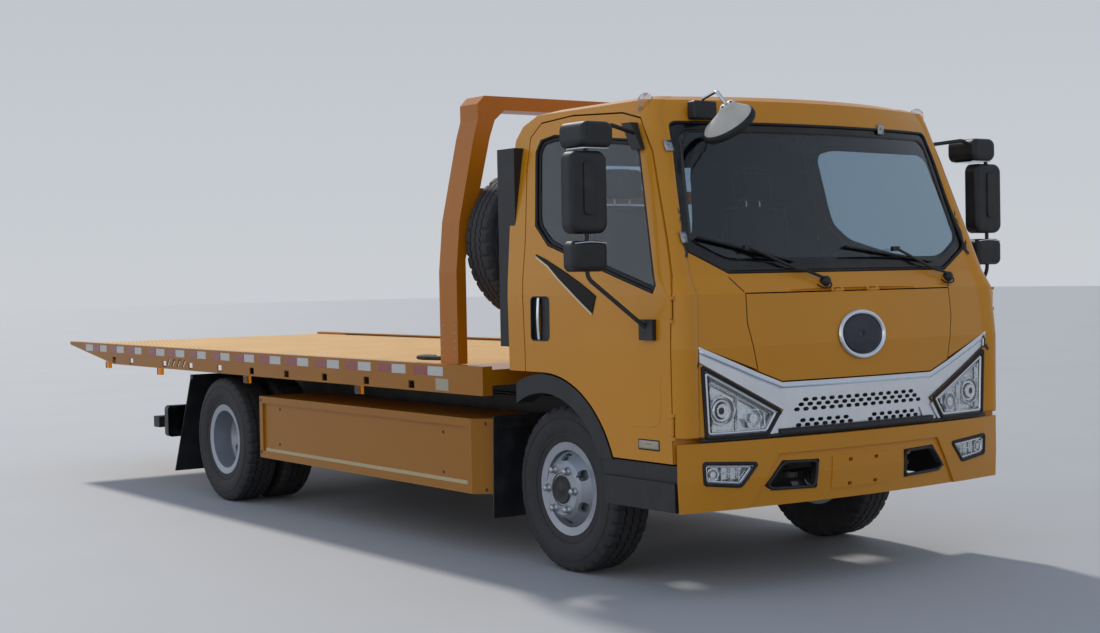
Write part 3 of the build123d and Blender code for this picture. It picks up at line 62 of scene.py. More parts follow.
def add_camera():
    """A camera that looks along the yaw and pitch and is turned about its own line of sight by the roll."""
    sight = Vector((
        math.cos(LENS_PITCH) * math.cos(LENS_YAW),
        math.cos(LENS_PITCH) * math.sin(LENS_YAW),
        math.sin(LENS_PITCH),
    ))
    level_right = sight.cross(Vector((0, 0, 1))).normalized()
    level_up = level_right.cross(sight)
    right = math.cos(LENS_ROLL) * level_right + math.sin(LENS_ROLL) * level_up
    up = right.cross(sight)
    data = bpy.data.cameras.new("camera")
    data.lens = LENS_MM
    data.sensor_width = FILM_MM
    data.clip_end = 200
    camera = bpy.data.objects.new("camera", data)
    turn = Matrix((right, up, -sight)).transposed()
    camera.matrix_world = Matrix.Translation(LENS_PLACE) @ turn.to_4x4()
    bpy.context.scene.collection.objects.link(camera)
    bpy.context.scene.camera = camera
    return camera


camera = add_camera()
print("camera at", tuple(round(v, 2) for v in camera.location), "with a lens of", LENS_MM, "mm")

# %% [markdown]
# Nearly every finish here starts from one shader, the Principled BSDF, whose colour, roughness and bump
# come from small textures that are worked out and not photographed. One function adds a node with its
# settings and links, so a tree reads as a list from the texture to the shader. Two nodes need a key: Map
# Range takes a value, its low and high end, and the two results for them; Mix holds its factor and its two
# colours at 0, 6 and 7 and gives the mixed colour at 2. Colours are sRGB hex values that a painter would
# read off a chart, turned to linear light once.

# %% Helpers for materials
def srgb(code):
    """An sRGB hex colour as linear red, green, blue and full alpha."""
    parts = [int(code[i:i + 2], 16) / 255 for i in (1, 3, 5)]
    linear = [c / 12.92 if c <= 0.04045 else ((c + 0.055) / 1.055) ** 2.4 for c in parts]
    return (*linear, 1.0)


def feed(tree, node, inputs):
    """Gives each input its value, or a link to another node's socket; a node stands for its first output."""
    for key, value in inputs.items():
        if isinstance(value, bpy.types.Node):
            value = value.outputs[0]
        if isinstance(value, bpy.types.NodeSocket):
            tree.links.new(value, node.inputs[key])
        else:
            node.inputs[key].default_value = value


def add(tree, kind, inputs=(), **settings):
    """Adds a node with its settings; its inputs go by name or number, or as a row in the node's order."""
    node = tree.nodes.new(f"ShaderNode{kind}")
    for key, value in settings.items():
        setattr(node, key, value)
    feed(tree, node, inputs if isinstance(inputs, dict) else dict(enumerate(inputs)))
    return node


def per_metre(size_mm):
    """A texture's scale for features of this real size."""
    return 1000 / size_mm


def start_material(name, **sockets):
    """A new material with its shader's plain sockets set; gives the material, its tree and its shader."""
    material = bpy.data.materials.new(name)
    material.use_nodes = True
    tree = material.node_tree
    shader = tree.nodes["Principled BSDF"]
    feed(tree, shader, {key.replace("_", " "): value for key, value in sockets.items()})
    return material, tree, shader


def plain_finish(name, colour, **sockets):
    """A material of one plain colour."""
    material, tree, shader = start_material(name, **sockets)
    feed(tree, shader, {"Base Color": srgb(colour)})
    return material


print("a feature of 5 mm needs a texture scale of", per_metre(5))

# %% [markdown]
# The cab, bumper, bed and lockers wear one amber enamel: a two-pack polyurethane sprayed over primer.
# Sprayed enamel is smooth but never flat. It shows faint orange peel, a few millimetres across, under a
# clear gloss. Road dust settles low on the panels in soft patches, so the colour and the roughness are
# mixed by height and by a noise, and a thin clear coat keeps the sharp reflection of glossy paint.

# %% Amber enamel
AMBER = "#DF9512"
AMBER_DEEP = "#D68C0E"
DUST = "#B59A6C"
DUST_TOP = 0.9


def amber_enamel(name, paint_code, deep_code, dust_share, gloss):
    """Sprayed enamel; dust_share is how much of it dust has dulled, gloss how much clear coat is left."""
    material, tree, shader = start_material(
        name, Coat_Weight=0.15 * gloss, Coat_Roughness=0.05, Specular_IOR_Level=0.25 + 0.15 * gloss)
    place = add(tree, "TexCoord").outputs["Object"]
    drift = add(tree, "TexNoise", {"Vector": place, "Scale": per_metre(600), "Detail": 4.0})
    paint = add(tree, "Mix", {0: drift, 6: srgb(paint_code), 7: srgb(deep_code)}, data_type="RGBA")
    height = add(tree, "SeparateXYZ", {"Vector": place}).outputs["Z"]
    low_down = add(tree, "MapRange", (height, 0.2, DUST_TOP, dust_share, 0.0))
    film = add(tree, "TexNoise", {"Vector": place, "Scale": per_metre(90), "Detail": 6.0, "Roughness": 0.7})
    dusty = add(tree, "Math", (low_down, film), operation="MULTIPLY")
    dusted = add(tree, "Mix", {0: dusty, 6: paint.outputs[2], 7: srgb(DUST)}, data_type="RGBA")
    roughness = add(tree, "MapRange", (dusty, 0.0, 0.5, 0.3, 0.62))
    peel = add(tree, "TexNoise", {"Vector": place, "Scale": per_metre(7), "Detail": 2.0})
    relief = add(tree, "Bump", {"Height": peel, "Strength": 0.05, "Distance": 0.001})
    feed(tree, shader, {"Base Color": dusted.outputs[2], "Roughness": roughness, "Normal": relief})
    return material


cab_enamel = amber_enamel("amber_enamel_cab", AMBER, AMBER_DEEP, 0.15, 1.0)
# The bed and lockers wear the cab's amber, but their copy is darker: painted shade for their low, shaded
# sides, with a little more dust.
bed_enamel_painted_shade = amber_enamel("amber_enamel_bed_painted_shade", "#B5740C", "#A9690A", 0.18, 0.3)
# The headboard and winch frame wear the same amber; their copy is darker and more orange, which is painted
# shade.
headboard_enamel_painted_shade = amber_enamel("amber_enamel_headboard_painted_shade", "#C67608", "#BC6C06", 0.1, 0.4)
print("amber enamel is", tuple(round(c, 3) for c in srgb(AMBER)[:3]), "in linear light")

# %% [markdown]
# Under the body everything is chassis black: brushed or dipped paint on hot-rolled steel. It is duller than
# body enamel, it hides nothing of the steel's own skin, and it carries more dust. One function makes each
# plain painted metal, with its own colour, gloss and grain, so that the frame, the castings, the tanks and
# the silver wheels differ by what they are and not by chance.

# %% Painted steel
def painted_steel(name, colour, roughness, grain_mm, grain_depth, dust_share, metallic=0.0):
    """Paint on steel: its unevenness is grain_mm wide in millimetres and grain_depth deep in metres."""
    material, tree, shader = start_material(name, Metallic=metallic)
    place = add(tree, "TexCoord").outputs["Object"]
    grain = add(tree, "TexNoise", {"Vector": place, "Scale": per_metre(grain_mm), "Detail": 5.0})
    film = add(tree, "TexNoise", {"Vector": place, "Scale": per_metre(160), "Detail": 7.0, "Roughness": 0.65})
    share = add(tree, "MapRange", (film, 0.42, 0.72, 0.0, dust_share))
    dusted = add(tree, "Mix", {0: share, 6: srgb(colour), 7: srgb("#8A7B66")}, data_type="RGBA")
    dulled = add(tree, "MapRange", (film, 0.3, 0.75, roughness, roughness + 0.2))
    relief = add(tree, "Bump", {"Height": grain, "Strength": 0.25, "Distance": grain_depth})
    feed(tree, shader, {"Base Color": dusted.outputs[2], "Roughness": dulled, "Normal": relief})
    return material


chassis_black = painted_steel("chassis_black_paint", "#18191C", 0.42, 14, 0.0006, 0.25)
cast_iron = painted_steel("painted_cast_iron", "#232425", 0.6, 4, 0.0012, 0.3)
tank_black = painted_steel("tank_black_paint", "#1C1D20", 0.36, 25, 0.0005, 0.2)
spring_steel = painted_steel("rolled_spring_steel", "#202022", 0.5, 8, 0.0005, 0.35)
wheel_silver = painted_steel("silver_wheel_lacquer", "#A9AEB6", 0.34, 6, 0.00025, 0.12, metallic=0.55)
print("painted steels:", len([chassis_black, cast_iron, tank_black, spring_steel, wheel_silver]))

# %% [markdown]
# The mudguards, steps, mirror housings and duct are injection-moulded polypropylene, black all
# through. Its mould was spark-eroded, which leaves a fine leather grain under a millimetre
# across that breaks up reflections. A Voronoi texture gives that cell pattern. It is drawn at 2
# mm here, coarser than it is, so that it still shows.

# %% Moulded plastics
def moulded_plastic(name, colour, roughness, grain_mm, strength):
    """Plastic or rubber with a moulded grain of this size, a little faded in patches."""
    material, tree, shader = start_material(name, IOR=1.49)
    place = add(tree, "TexCoord").outputs["Object"]
    cells = add(tree, "TexVoronoi", {"Vector": place, "Scale": per_metre(grain_mm)})
    fade = add(tree, "TexNoise", {"Vector": place, "Scale": per_metre(120), "Detail": 5.0})
    share = add(tree, "MapRange", (fade, 0.45, 0.75, 0.0, 0.22))
    faded = add(tree, "Mix", {0: share, 6: srgb(colour), 7: srgb("#5A5854")}, data_type="RGBA")
    dulled = add(tree, "MapRange", (fade, 0.3, 0.7, roughness, roughness + 0.12))
    relief = add(tree, "Bump", {"Height": cells, "Strength": strength, "Distance": 0.0004})
    feed(tree, shader, {"Base Color": faded.outputs[2], "Roughness": dulled, "Normal": relief})
    return material


black_plastic = moulded_plastic("moulded_polypropylene", "#191B1F", 0.46, 2, 0.25)
gloss_black = moulded_plastic("gloss_black_abs", "#0B0C0E", 0.16, 30, 0.03)
dash_plastic = moulded_plastic("soft_dash_skin", "#23252A", 0.62, 3, 0.4)
rubber_seal = moulded_plastic("extruded_epdm_rubber", "#0D0D0F", 0.55, 5, 0.12)
print("plastics and rubber:", black_plastic.name, gloss_black.name, dash_plastic.name, rubber_seal.name)

# %% [markdown]
# The band round the grille is ABS with a bright satin plating, and the rods of the cylinders
# are ground hard chrome. A metal's colour is its reflection, so both keep the default IOR and
# only the roughness and the tint tell them apart.

# %% Plated metals
def plated(name, colour, roughness, ripple_mm, deep="#A7ABB2"):
    """A bare or plated metal whose colour and roughness drift in ripples of this size."""
    material, tree, shader = start_material(name, Metallic=1.0)
    place = add(tree, "TexCoord").outputs["Object"]
    ripple = add(tree, "TexNoise", {"Vector": place, "Scale": per_metre(ripple_mm), "Detail": 3.0})
    tint = add(tree, "Mix", {0: ripple, 6: srgb(colour), 7: srgb(deep)}, data_type="RGBA")
    dulled = add(tree, "MapRange", (ripple, 0.3, 0.7, roughness, roughness + 0.08))
    feed(tree, shader, {"Base Color": tint.outputs[2], "Roughness": dulled})
    return material


satin_plating = plated("satin_plated_abs", "#E6E8EC", 0.28, 90, deep="#D4D8DD")
bright_plating = plated("bright_plated_abs", "#ECEEF1", 0.12, 60, deep="#D2D6DB")
# The lip's plating is tinted blue: a painted reflection of the sky
lip_plating_painted_sky = plated("plated_lip_painted_sky_reflection", "#DCE6F2", 0.16, 60, deep="#C4D2E4")
hard_chrome = plated("ground_hard_chrome", "#D5D8DC", 0.1, 15)
zinc_steel = plated("zinc_plated_steel", "#B9BBB8", 0.32, 5)
print("plated finishes:", satin_plating.name, bright_plating.name, hard_chrome.name, zinc_steel.name)

# %% [markdown]
# The windows are laminated or tempered soda-lime glass with a cool tint, and the lamp covers are clear
# acrylic. The coloured lenses are the same acrylic with a dye in it, and a little rougher. Panes bend and
# mirror light, so all of them are drawn with transmission and an IOR of about 1.5.

# %% Glass and lenses
def clear_pane(name, colour, roughness, ior):
    """Glass or acrylic that light goes through."""
    return plain_finish(name, colour, Transmission_Weight=1.0, Roughness=roughness, IOR=ior)


safety_glass = clear_pane("laminated_glass", "#B7C8D3", 0.0, 1.5)
lamp_cover = clear_pane("clear_acrylic", "#FBFCFC", 0.02, 1.49)
amber_lens = clear_pane("amber_acrylic", "#F08A12", 0.12, 1.49)
red_lens = clear_pane("red_acrylic", "#B01208", 0.12, 1.49)
print("panes:", safety_glass.name, lamp_cover.name, amber_lens.name, red_lens.name)

# %% [markdown]
# Tyre rubber is carbon black in natural and butyl rubber. It is never quite black: wax and road dust turn it
# a dull grey-brown, and more so where the tread has just met the road.
# The dust is a coarse noise and the moulded skin of the rubber a fine one.

# %% Rubber
CARBON_BLACK = "#222227"


def tyre_rubber():
    """Black rubber under a coarse film of road dust."""
    material, tree, shader = start_material("tyre_rubber", IOR=1.52)
    place = add(tree, "TexCoord").outputs["Object"]
    dust = add(tree, "TexNoise", {"Vector": place, "Scale": per_metre(70), "Detail": 8.0, "Roughness": 0.7})
    share = add(tree, "MapRange", (dust, 0.4, 0.75, 0.05, 0.55))
    dusted = add(tree, "Mix", {0: share, 6: srgb(CARBON_BLACK), 7: srgb("#55504A")}, data_type="RGBA")
    dulled = add(tree, "MapRange", (dust, 0.3, 0.7, 0.62, 0.85))
    skin = add(tree, "TexNoise", {"Vector": place, "Scale": per_metre(6), "Detail": 4.0})
    relief = add(tree, "Bump", {"Height": skin, "Strength": 0.3, "Distance": 0.0006})
    feed(tree, shader, {"Base Color": dusted.outputs[2], "Roughness": dulled, "Normal": relief})
    return material


rubber = tyre_rubber()
print("rubber's shade in linear light:", [round(c, 3) for c in srgb(CARBON_BLACK)[:3]])

# %% [markdown]
# The deck is chequer plate: hot-rolled steel with raised tears about 30 mm long, set crosswise in turn.
# Sprayed amber, it is soon worn to a paler shade along the tears. Its paler patches and paler tears are
# partly that wear and dust and partly a painted reflection of the sky, which a glossy deck would mirror. The
# tears are a bump worked out from two sets of stretched cells, because modelling thousands would cost too
# much.

# %% Chequer plate
# Real tears lie about 32 mm apart; at this distance they would blur, so they are drawn coarser
TEAR_PITCH_MM = 60
TEAR_STRETCH = 2.6
TEAR_HEIGHT = 0.003


def chequer_plate():
    """Painted plate whose tears stand out and are paler than the ground between them, from wear and from a
    painted reflection.
    """
    material, tree, shader = start_material("painted_chequer_plate", Specular_IOR_Level=0.2)
    place = add(tree, "TexCoord").outputs["Object"]
    pitch = per_metre(TEAR_PITCH_MM)
    heights = []
    for turn in (45, -45):
        # Each cell is longer than it is wide, and the second set is turned across the first
        crosswise = add(tree, "Mapping", {"Vector": place, "Rotation": (0, 0, math.radians(turn)),
                                          "Scale": (pitch, pitch * TEAR_STRETCH, 1.0)})
        cells = add(tree, "TexVoronoi", {"Vector": crosswise, "Scale": 1.0, "Randomness": 0.0},
                    voronoi_dimensions="2D")
        heights.append(add(tree, "MapRange", (cells, 0.2, 0.42, 1.0, 0.0)))
    checks = add(tree, "TexChecker", {"Vector": place, "Scale": pitch}).outputs["Fac"]
    first = add(tree, "Math", (heights[0], checks), operation="MULTIPLY")
    other = add(tree, "Math", (1.0, checks), operation="SUBTRACT")
    second = add(tree, "Math", (heights[1], other), operation="MULTIPLY")
    tears = add(tree, "Math", (first, second), operation="MAXIMUM")
    wear = add(tree, "TexNoise", {"Vector": place, "Scale": per_metre(450), "Detail": 7.0, "Roughness": 0.6})
    share = add(tree, "MapRange", (wear, 0.35, 0.7, 0.15, 0.6))
    # The paler ground and the paler tears are partly wear and dust and partly a painted reflection of the sky
    ground = add(tree, "Mix", {0: share, 6: srgb(AMBER), 7: srgb("#BE9652")}, data_type="RGBA")
    worn_and_sheen = add(tree, "Mix", {0: tears, 6: ground.outputs[2], 7: srgb("#DDBB80")}, data_type="RGBA")
    dulled = add(tree, "MapRange", (wear, 0.3, 0.7, 0.5, 0.65))
    relief = add(tree, "Bump", {"Height": tears, "Strength": 0.9, "Distance": TEAR_HEIGHT})
    feed(tree, shader, {"Base Color": worn_and_sheen.outputs[2], "Roughness": dulled, "Normal": relief})
    return material


tread_plate = chequer_plate()
print("one tear every", TEAR_PITCH_MM, "mm")

# %% [markdown]
# The last finishes are small ones: prismatic tape, woven seat cloth, mirror glass and aluminised
# reflectors. The tape's tiny prisms are sealed in honeycomb cells about 3 mm wide, which is what makes it
# glitter. The seat cloth is a flat weave of threads about 1 mm wide. Both would shimmer at this distance,
# so the cells are drawn 6 mm wide and the threads 4 mm.

# %% Small finishes
# A wave texture of scale 1 has about this many half waves to the metre, and one half wave is one thread
HALF_WAVES = 6.28


def reflective_tape(name, colour, bright):
    """Tape whose cells shine in one colour between walls of another."""
    material, tree, shader = start_material(name, Roughness=0.25, Coat_Weight=0.8, Coat_Roughness=0.08)
    place = add(tree, "TexCoord").outputs["Object"]
    walls = add(tree, "TexVoronoi", {"Vector": place, "Scale": per_metre(6)}, feature="DISTANCE_TO_EDGE")
    share = add(tree, "MapRange", (walls, 0.0, 0.12, 0.0, 1.0))
    shine = add(tree, "Mix", {0: share, 6: srgb(bright), 7: srgb(colour)}, data_type="RGBA")
    feed(tree, shader, {"Base Color": shine.outputs[2]})
    return material


def woven_cloth(name, colour, thread_mm):
    """A flat weave: two sets of threads of this width that cross."""
    material, tree, shader = start_material(name, Roughness=0.9, Sheen_Weight=0.3)
    place = add(tree, "TexCoord").outputs["Object"]
    threads = []
    for way in ("Y", "Z"):
        wave = add(tree, "TexWave", {"Vector": place, "Scale": per_metre(thread_mm) / HALF_WAVES},
                   bands_direction=way)
        threads.append(wave.outputs["Fac"])
    weave = add(tree, "Math", threads, operation="MULTIPLY")
    shade = add(tree, "Mix", {0: weave, 6: srgb("#17181B"), 7: srgb(colour)}, data_type="RGBA")
    relief = add(tree, "Bump", {"Height": weave, "Strength": 0.5, "Distance": 0.0005})
    feed(tree, shader, {"Base Color": shade.outputs[2], "Normal": relief})
    return material


tape_red = reflective_tape("prismatic_tape_red", "#A32A1C", "#7E1D14")
tape_white = reflective_tape("prismatic_tape_white", "#D6D3CC", "#B9B7B2")
seat_cloth = woven_cloth("woven_seat_cloth", "#3A3D44", 4)
mirror_glass = plated("silvered_mirror_glass", "#CDD3D8", 0.02, 200)
reflector = plated("aluminised_reflector", "#F3F4F5", 0.22, 20, deep="#D9DCE0")
print("small finishes:", [m.name for m in (tape_red, tape_white, seat_cloth, mirror_glass, reflector)])

# %% [markdown]
# Each solid now gets its finish, by what the real piece is made of.
# A plain table does it: on the left the finish, on the right the solids that wear it.

# %% Finish of each solid
FINISHES = (
    (cab_enamel, "cab_shell front_lid door_right door_left bumper"),
    (bed_enamel_painted_shade, "bed_frame side_boxes"),
    (headboard_enamel_painted_shade, "headboard winch_frame"),
    (tread_plate, "bed_deck"),
    (chassis_black,
     "chassis_frame tilt_frame tilt_barrels slide_cylinder prop_shaft knuckle_right knuckle_left"),
    (cast_iron, "front_axle rear_axle engine_block"),
    (spring_steel, "leaf_springs"),
    (tank_black, "tanks winch_drum"),
    (wheel_silver, "rim_front_right rim_front_left rims_rear_right rims_rear_left spare_rim"),
    (rubber, "tyre_front_right tyre_front_left tyres_rear_right tyres_rear_left spare_tyre"),
    (black_plastic, "arches_and_steps air_duct mudguards mirrors_right mirrors_left front_mirror"),
    (satin_plating, "grille"),
    (hard_chrome, "tilt_rods slide_rod"),
    (safety_glass, "cab_glass door_glass_right door_glass_left"),
    (lamp_cover, "front_lamps roof_lamps"),
    (amber_lens, "side_markers"),
    (gloss_black, "tail_lamps"),
    (dash_plastic, "dashboard"),
    (seat_cloth, "seats"),
)
for finish, names in FINISHES:
    for name in names.split():
        solids[name].data.materials.clear()
        solids[name].data.materials.append(finish)
bare = [name for name, solid in solids.items() if not solid.data.materials]
print("solids without a finish:", bare)

# %% [markdown]
# The thin pieces are built from a few kinds of form: a plate pulled along an axis, a turned form, a round
# bar, and a strip or patch laid on the cab's curved skin. The last needs a way to ask where the skin is, so
# the panels are put in one search tree and a ray is shot at them. Every piece is drawn in place, so the
# texture of its finish keeps its real size.

# %% Helpers for forms
FRONT_AXLE = 2.720
WHEELBASE = 3.8
AXLE_HEIGHT = 0.418
SIDES = ((-1, "right"), (1, "left"))


def ahead(x):
    """A place told from the front axle, as a place in the truck's own frame."""
    return x + FRONT_AXLE


def new_mesh(name, points, faces, finish, body, smooth=False):
    """A piece from points and faces, in its finish and riding on a body."""
    mesh = bpy.data.meshes.new(name)
    mesh.from_pydata([tuple(p) for p in points], [], faces)
    mesh.validate()
    made = bmesh.new()
    made.from_mesh(mesh)
    bmesh.ops.recalc_face_normals(made, faces=made.faces)
    made.to_mesh(mesh)
    made.free()
    mesh.materials.append(finish)
    piece = bpy.data.objects.new(name, mesh)
    bpy.context.scene.collection.objects.link(piece)
    for polygon in mesh.polygons:
        polygon.use_smooth = smooth
    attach(piece, body)
    return piece


def row_faces(rows, count, closed=False, full_turn=False):
    """Faces between rows of points; closed joins a row's two ends, full_turn the last row and the first."""
    faces = []
    for row in range(rows if full_turn else rows - 1):
        here = row * count
        there = (row + 1) % rows * count
        for i in range(count if closed else count - 1):
            j = (i + 1) % count
            faces.append((here + i, here + j, there + j, there + i))
    return faces


def ladder_faces(steps):
    """Faces between points that come in pairs, as the ends of a ladder's rungs."""
    return [(2 * k, 2 * k + 2, 2 * k + 3, 2 * k + 1) for k in range(steps)]


def thicken(piece, thickness, outwards=False):
    """Gives a skin its sheet's thickness, behind its face or, if outwards, in front of it."""
    sheet = piece.modifiers.new("thickness", "SOLIDIFY")
    sheet.thickness = thickness
    if outwards:
        sheet.offset = 1.0
    return piece


def soften(piece, width, segments=2):
    """Rounds the piece's edges, as pressing or moulding would."""
    bevel = piece.modifiers.new("soft_edges", "BEVEL")
    bevel.width = width
    bevel.segments = segments
    bevel.limit_method = "ANGLE"
    bevel.angle_limit = math.radians(35)
    for polygon in piece.data.polygons:
        polygon.use_smooth = True
    smooth = piece.modifiers.new("keep_faces_flat", "WEIGHTED_NORMAL")
    smooth.keep_sharp = True
    return piece


def on_axis(axis, along, u, v):
    """A point from its place along an axis and the two others in X, Y, Z order."""
    return {"x": (along, u, v), "y": (u, along, v), "z": (u, v, along)}[axis]


def plate(name, outline, low, high, axis, finish, body):
    """A flat outline pulled along an axis from low to high."""
    count = len(outline)
    points = [on_axis(axis, at, u, v) for at in (low, high) for u, v in outline]
    faces = [tuple(range(count)), tuple(range(2 * count - 1, count - 1, -1))]
    faces += row_faces(2, count, closed=True)
    return new_mesh(name, points, faces, finish, body)


def brick(name, low, high, finish, body, radius=0.0):
    """A box between two corners, with rounded edges if a radius is given."""
    outline = [(low[0], low[1]), (high[0], low[1]), (high[0], high[1]), (low[0], high[1])]
    piece = plate(name, outline, low[2], high[2], "z", finish, body)
    return soften(piece, radius, 3) if radius else piece


def turned(name, profile, centre, axis, finish, body, steps=48, closed=False):
    """A form turned about an axis; the profile is radius and place along the axis."""
    along = Vector(axis).normalized()
    side = along.orthogonal().normalized()
    other = along.cross(side)
    points = []
    for step in range(steps):
        angle = 2 * math.pi * step / steps
        out = math.cos(angle) * side + math.sin(angle) * other
        points += [Vector(centre) + radius * out + at * along for radius, at in profile]
    faces = row_faces(steps, len(profile), closed, full_turn=True)
    return new_mesh(name, points, faces, finish, body, smooth=True)


def bar(name, points, radius, finish, body, closed=False, bend=False):
    """A round bar, hose or seal along points; bend lets it curve smoothly through them."""
    curve = bpy.data.curves.new(name, "CURVE")
    curve.dimensions = "3D"
    curve.bevel_depth = radius
    curve.bevel_resolution = 2
    curve.use_fill_caps = not closed
    spline = curve.splines.new("BEZIER" if bend else "POLY")
    if bend:
        curve.resolution_u = 8
        spline.bezier_points.add(len(points) - 1)
        for knot, point in zip(spline.bezier_points, points):
            knot.co = point
            knot.handle_left_type = "AUTO"
            knot.handle_right_type = "AUTO"
    else:
        spline.points.add(len(points) - 1)
        for knot, point in zip(spline.points, points):
            knot.co = (*point, 1)
    spline.use_cyclic_u = closed
    curve.materials.append(finish)
    piece = bpy.data.objects.new(name, curve)
    bpy.context.scene.collection.objects.link(piece)
    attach(piece, body)
    return piece


def search_tree(*names):
    """The named solids' faces, ready to be asked where a ray meets them."""
    points = []
    faces = []
    for name in names:
        mesh = solids[name].data
        start = len(points)
        points += [v.co.copy() for v in mesh.vertices]
        faces += [[start + i for i in polygon.vertices] for polygon in mesh.polygons]
    return BVHTree.FromPolygons(points, faces)


def meet(tree, start, direction):
    """Where a ray meets the solids, and the way that face looks."""
    place, normal, _, _ = tree.ray_cast(Vector(start), Vector(direction).normalized())
    if place is None:
        raise RuntimeError(f"nothing is met from {tuple(start)}")
    return place, normal if normal.dot(Vector(direction)) < 0 else -normal


front_skin = search_tree("cab_shell", "front_lid", "grille", "front_lamps", "bumper", "cab_glass")
right_skin = search_tree("cab_shell", "door_right", "door_glass_right")
left_skin = search_tree("cab_shell", "door_left", "door_glass_left")
DOORS = ((-1, right_skin, "door_right"), (1, left_skin, "door_left"))
lid_place = meet(front_skin, (6, 0.02, 1.186), (-1, 0, 0))[0]
print("the lid's skin is", round(lid_place.x - FRONT_AXLE, 3), "m ahead of the front axle at its middle")

# %% [markdown]
# A truck tyre of this size has a few wide ribs parted by zigzag grooves, and short slots across
# its shoulders. The zigzag gives every rib edges that bite in two directions, and the slots let
# water out sideways. One turned mesh does it: the profile goes round in small steps, and the
# points at the rib edges step left and right in turn. It costs little, so all seven tyres can
# share it and stand for the plain solids.

# %% Tyres
TYRE_RADIUS = 0.418
TYRE_HALF = 0.1175
ZIGZAG_STEPS = 216
ZIGZAG = 0.0035
ZIGZAG_PERIOD = 4
SLOT_PERIOD = 6
SHOULDER = 0.088
SHOULDER_SLOT = 0.004
GROOVE_CENTRES = (-0.046, 0.0, 0.046)
GROOVE_DEPTH = 0.012
GROOVE_HALF = 0.0045
GROOVE_SLOPE = 0.0015
# How much the tread falls away at a metre from its middle, as a parabola
CROWN_DROP = 0.36
# Radius and place across the tyre, from the bead to the widest rings of the side wall
SIDE_WALL = [
    (0.205, 0.078), (0.222, 0.092), (0.240, 0.0925), (0.252, 0.098), (0.268, 0.1005), (0.270, 0.1045),
    (0.274, 0.1045), (0.277, 0.1035), (0.300, 0.1135), (0.328, TYRE_HALF), (0.352, 0.1155), (0.354, 0.1185),
    (0.360, 0.1180), (0.362, 0.1150), (0.378, 0.1120),
]
FRONT_TYRE_Y = 0.856
REAR_TYRES_Y = (0.710, 0.985)
SPARE_PLACE = (ahead(-0.655), -0.640, 1.672)
TREAD_CREASE = math.radians(28)


def tyre_profile(step):
    """Radius and place across the tyre for one step round it, from the left bead to the right one."""
    sway = ZIGZAG if step % ZIGZAG_PERIOD < ZIGZAG_PERIOD / 2 else -ZIGZAG
    slot_here = step % SLOT_PERIOD == 0
    shoulder_radius = TYRE_RADIUS - (GROOVE_DEPTH if slot_here else 0.001)
    side = SIDE_WALL + [
        (0.396 - (SHOULDER_SLOT if slot_here else 0), 0.1075),
        (shoulder_radius - 0.004, 0.096),
        (shoulder_radius, SHOULDER),
    ]
    left = [(radius, -at) for radius, at in side]
    tread = []
    for centre in GROOVE_CENTRES:
        crown = TYRE_RADIUS - CROWN_DROP * centre * centre
        low = centre + sway - GROOVE_HALF
        high = centre + sway + GROOVE_HALF
        tread += [(crown, low), (crown - GROOVE_DEPTH, low + GROOVE_SLOPE),
                  (crown - GROOVE_DEPTH, high - GROOVE_SLOPE), (crown, high)]
    return left + tread + list(reversed(side))


def tyre_mesh():
    """One tyre about the Z axis, with its inside left open at the beads."""
    points = []
    for step in range(ZIGZAG_STEPS):
        angle = 2 * math.pi * step / ZIGZAG_STEPS
        points += [(radius * math.cos(angle), radius * math.sin(angle), at)
                   for radius, at in tyre_profile(step)]
    return points, row_faces(ZIGZAG_STEPS, len(tyre_profile(0)), full_turn=True)


TYRES = [(f"tyre_front_{tag}", f"front_wheel_{tag}", (ahead(0), side * FRONT_TYRE_Y, AXLE_HEIGHT), "y")
         for side, tag in SIDES]
TYRES += [(f"tyres_rear_{tag}", f"rear_wheels_{tag}", (ahead(-WHEELBASE), side * y, AXLE_HEIGHT), "y")
          for side, tag in SIDES for y in REAR_TYRES_Y]
TYRES.append(("spare_tyre", "bed", SPARE_PLACE, "x"))
tyre_points, tyre_faces = tyre_mesh()
treads = []
for index, (node, body, (x, y, z), axle) in enumerate(TYRES):
    if axle == "y":
        placed = [(x + a, y + c, z + b) for a, b, c in tyre_points]
    else:
        placed = [(x + c, y + a, z + b) for a, b, c in tyre_points]
    tread = new_mesh(f"tread_{index}_{node}", placed, tyre_faces, rubber, body, smooth=True)
    tread.data.set_sharp_from_angle(angle=TREAD_CREASE)
    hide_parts(node)
    treads.append(tread)
print(len(treads), "tyres of", len(treads[0].data.polygons), "faces each")

# %% [markdown]
# The wheels are pressed steel discs welded into rolled rims and sprayed silver. Domed nuts in zinc hold
# them, and a short valve stands in one hand hole. A black dished cap closes each front hub. Nuts and caps
# are turned from a short profile. The edge of a hand hole is only shadow, so nothing is drawn for it.

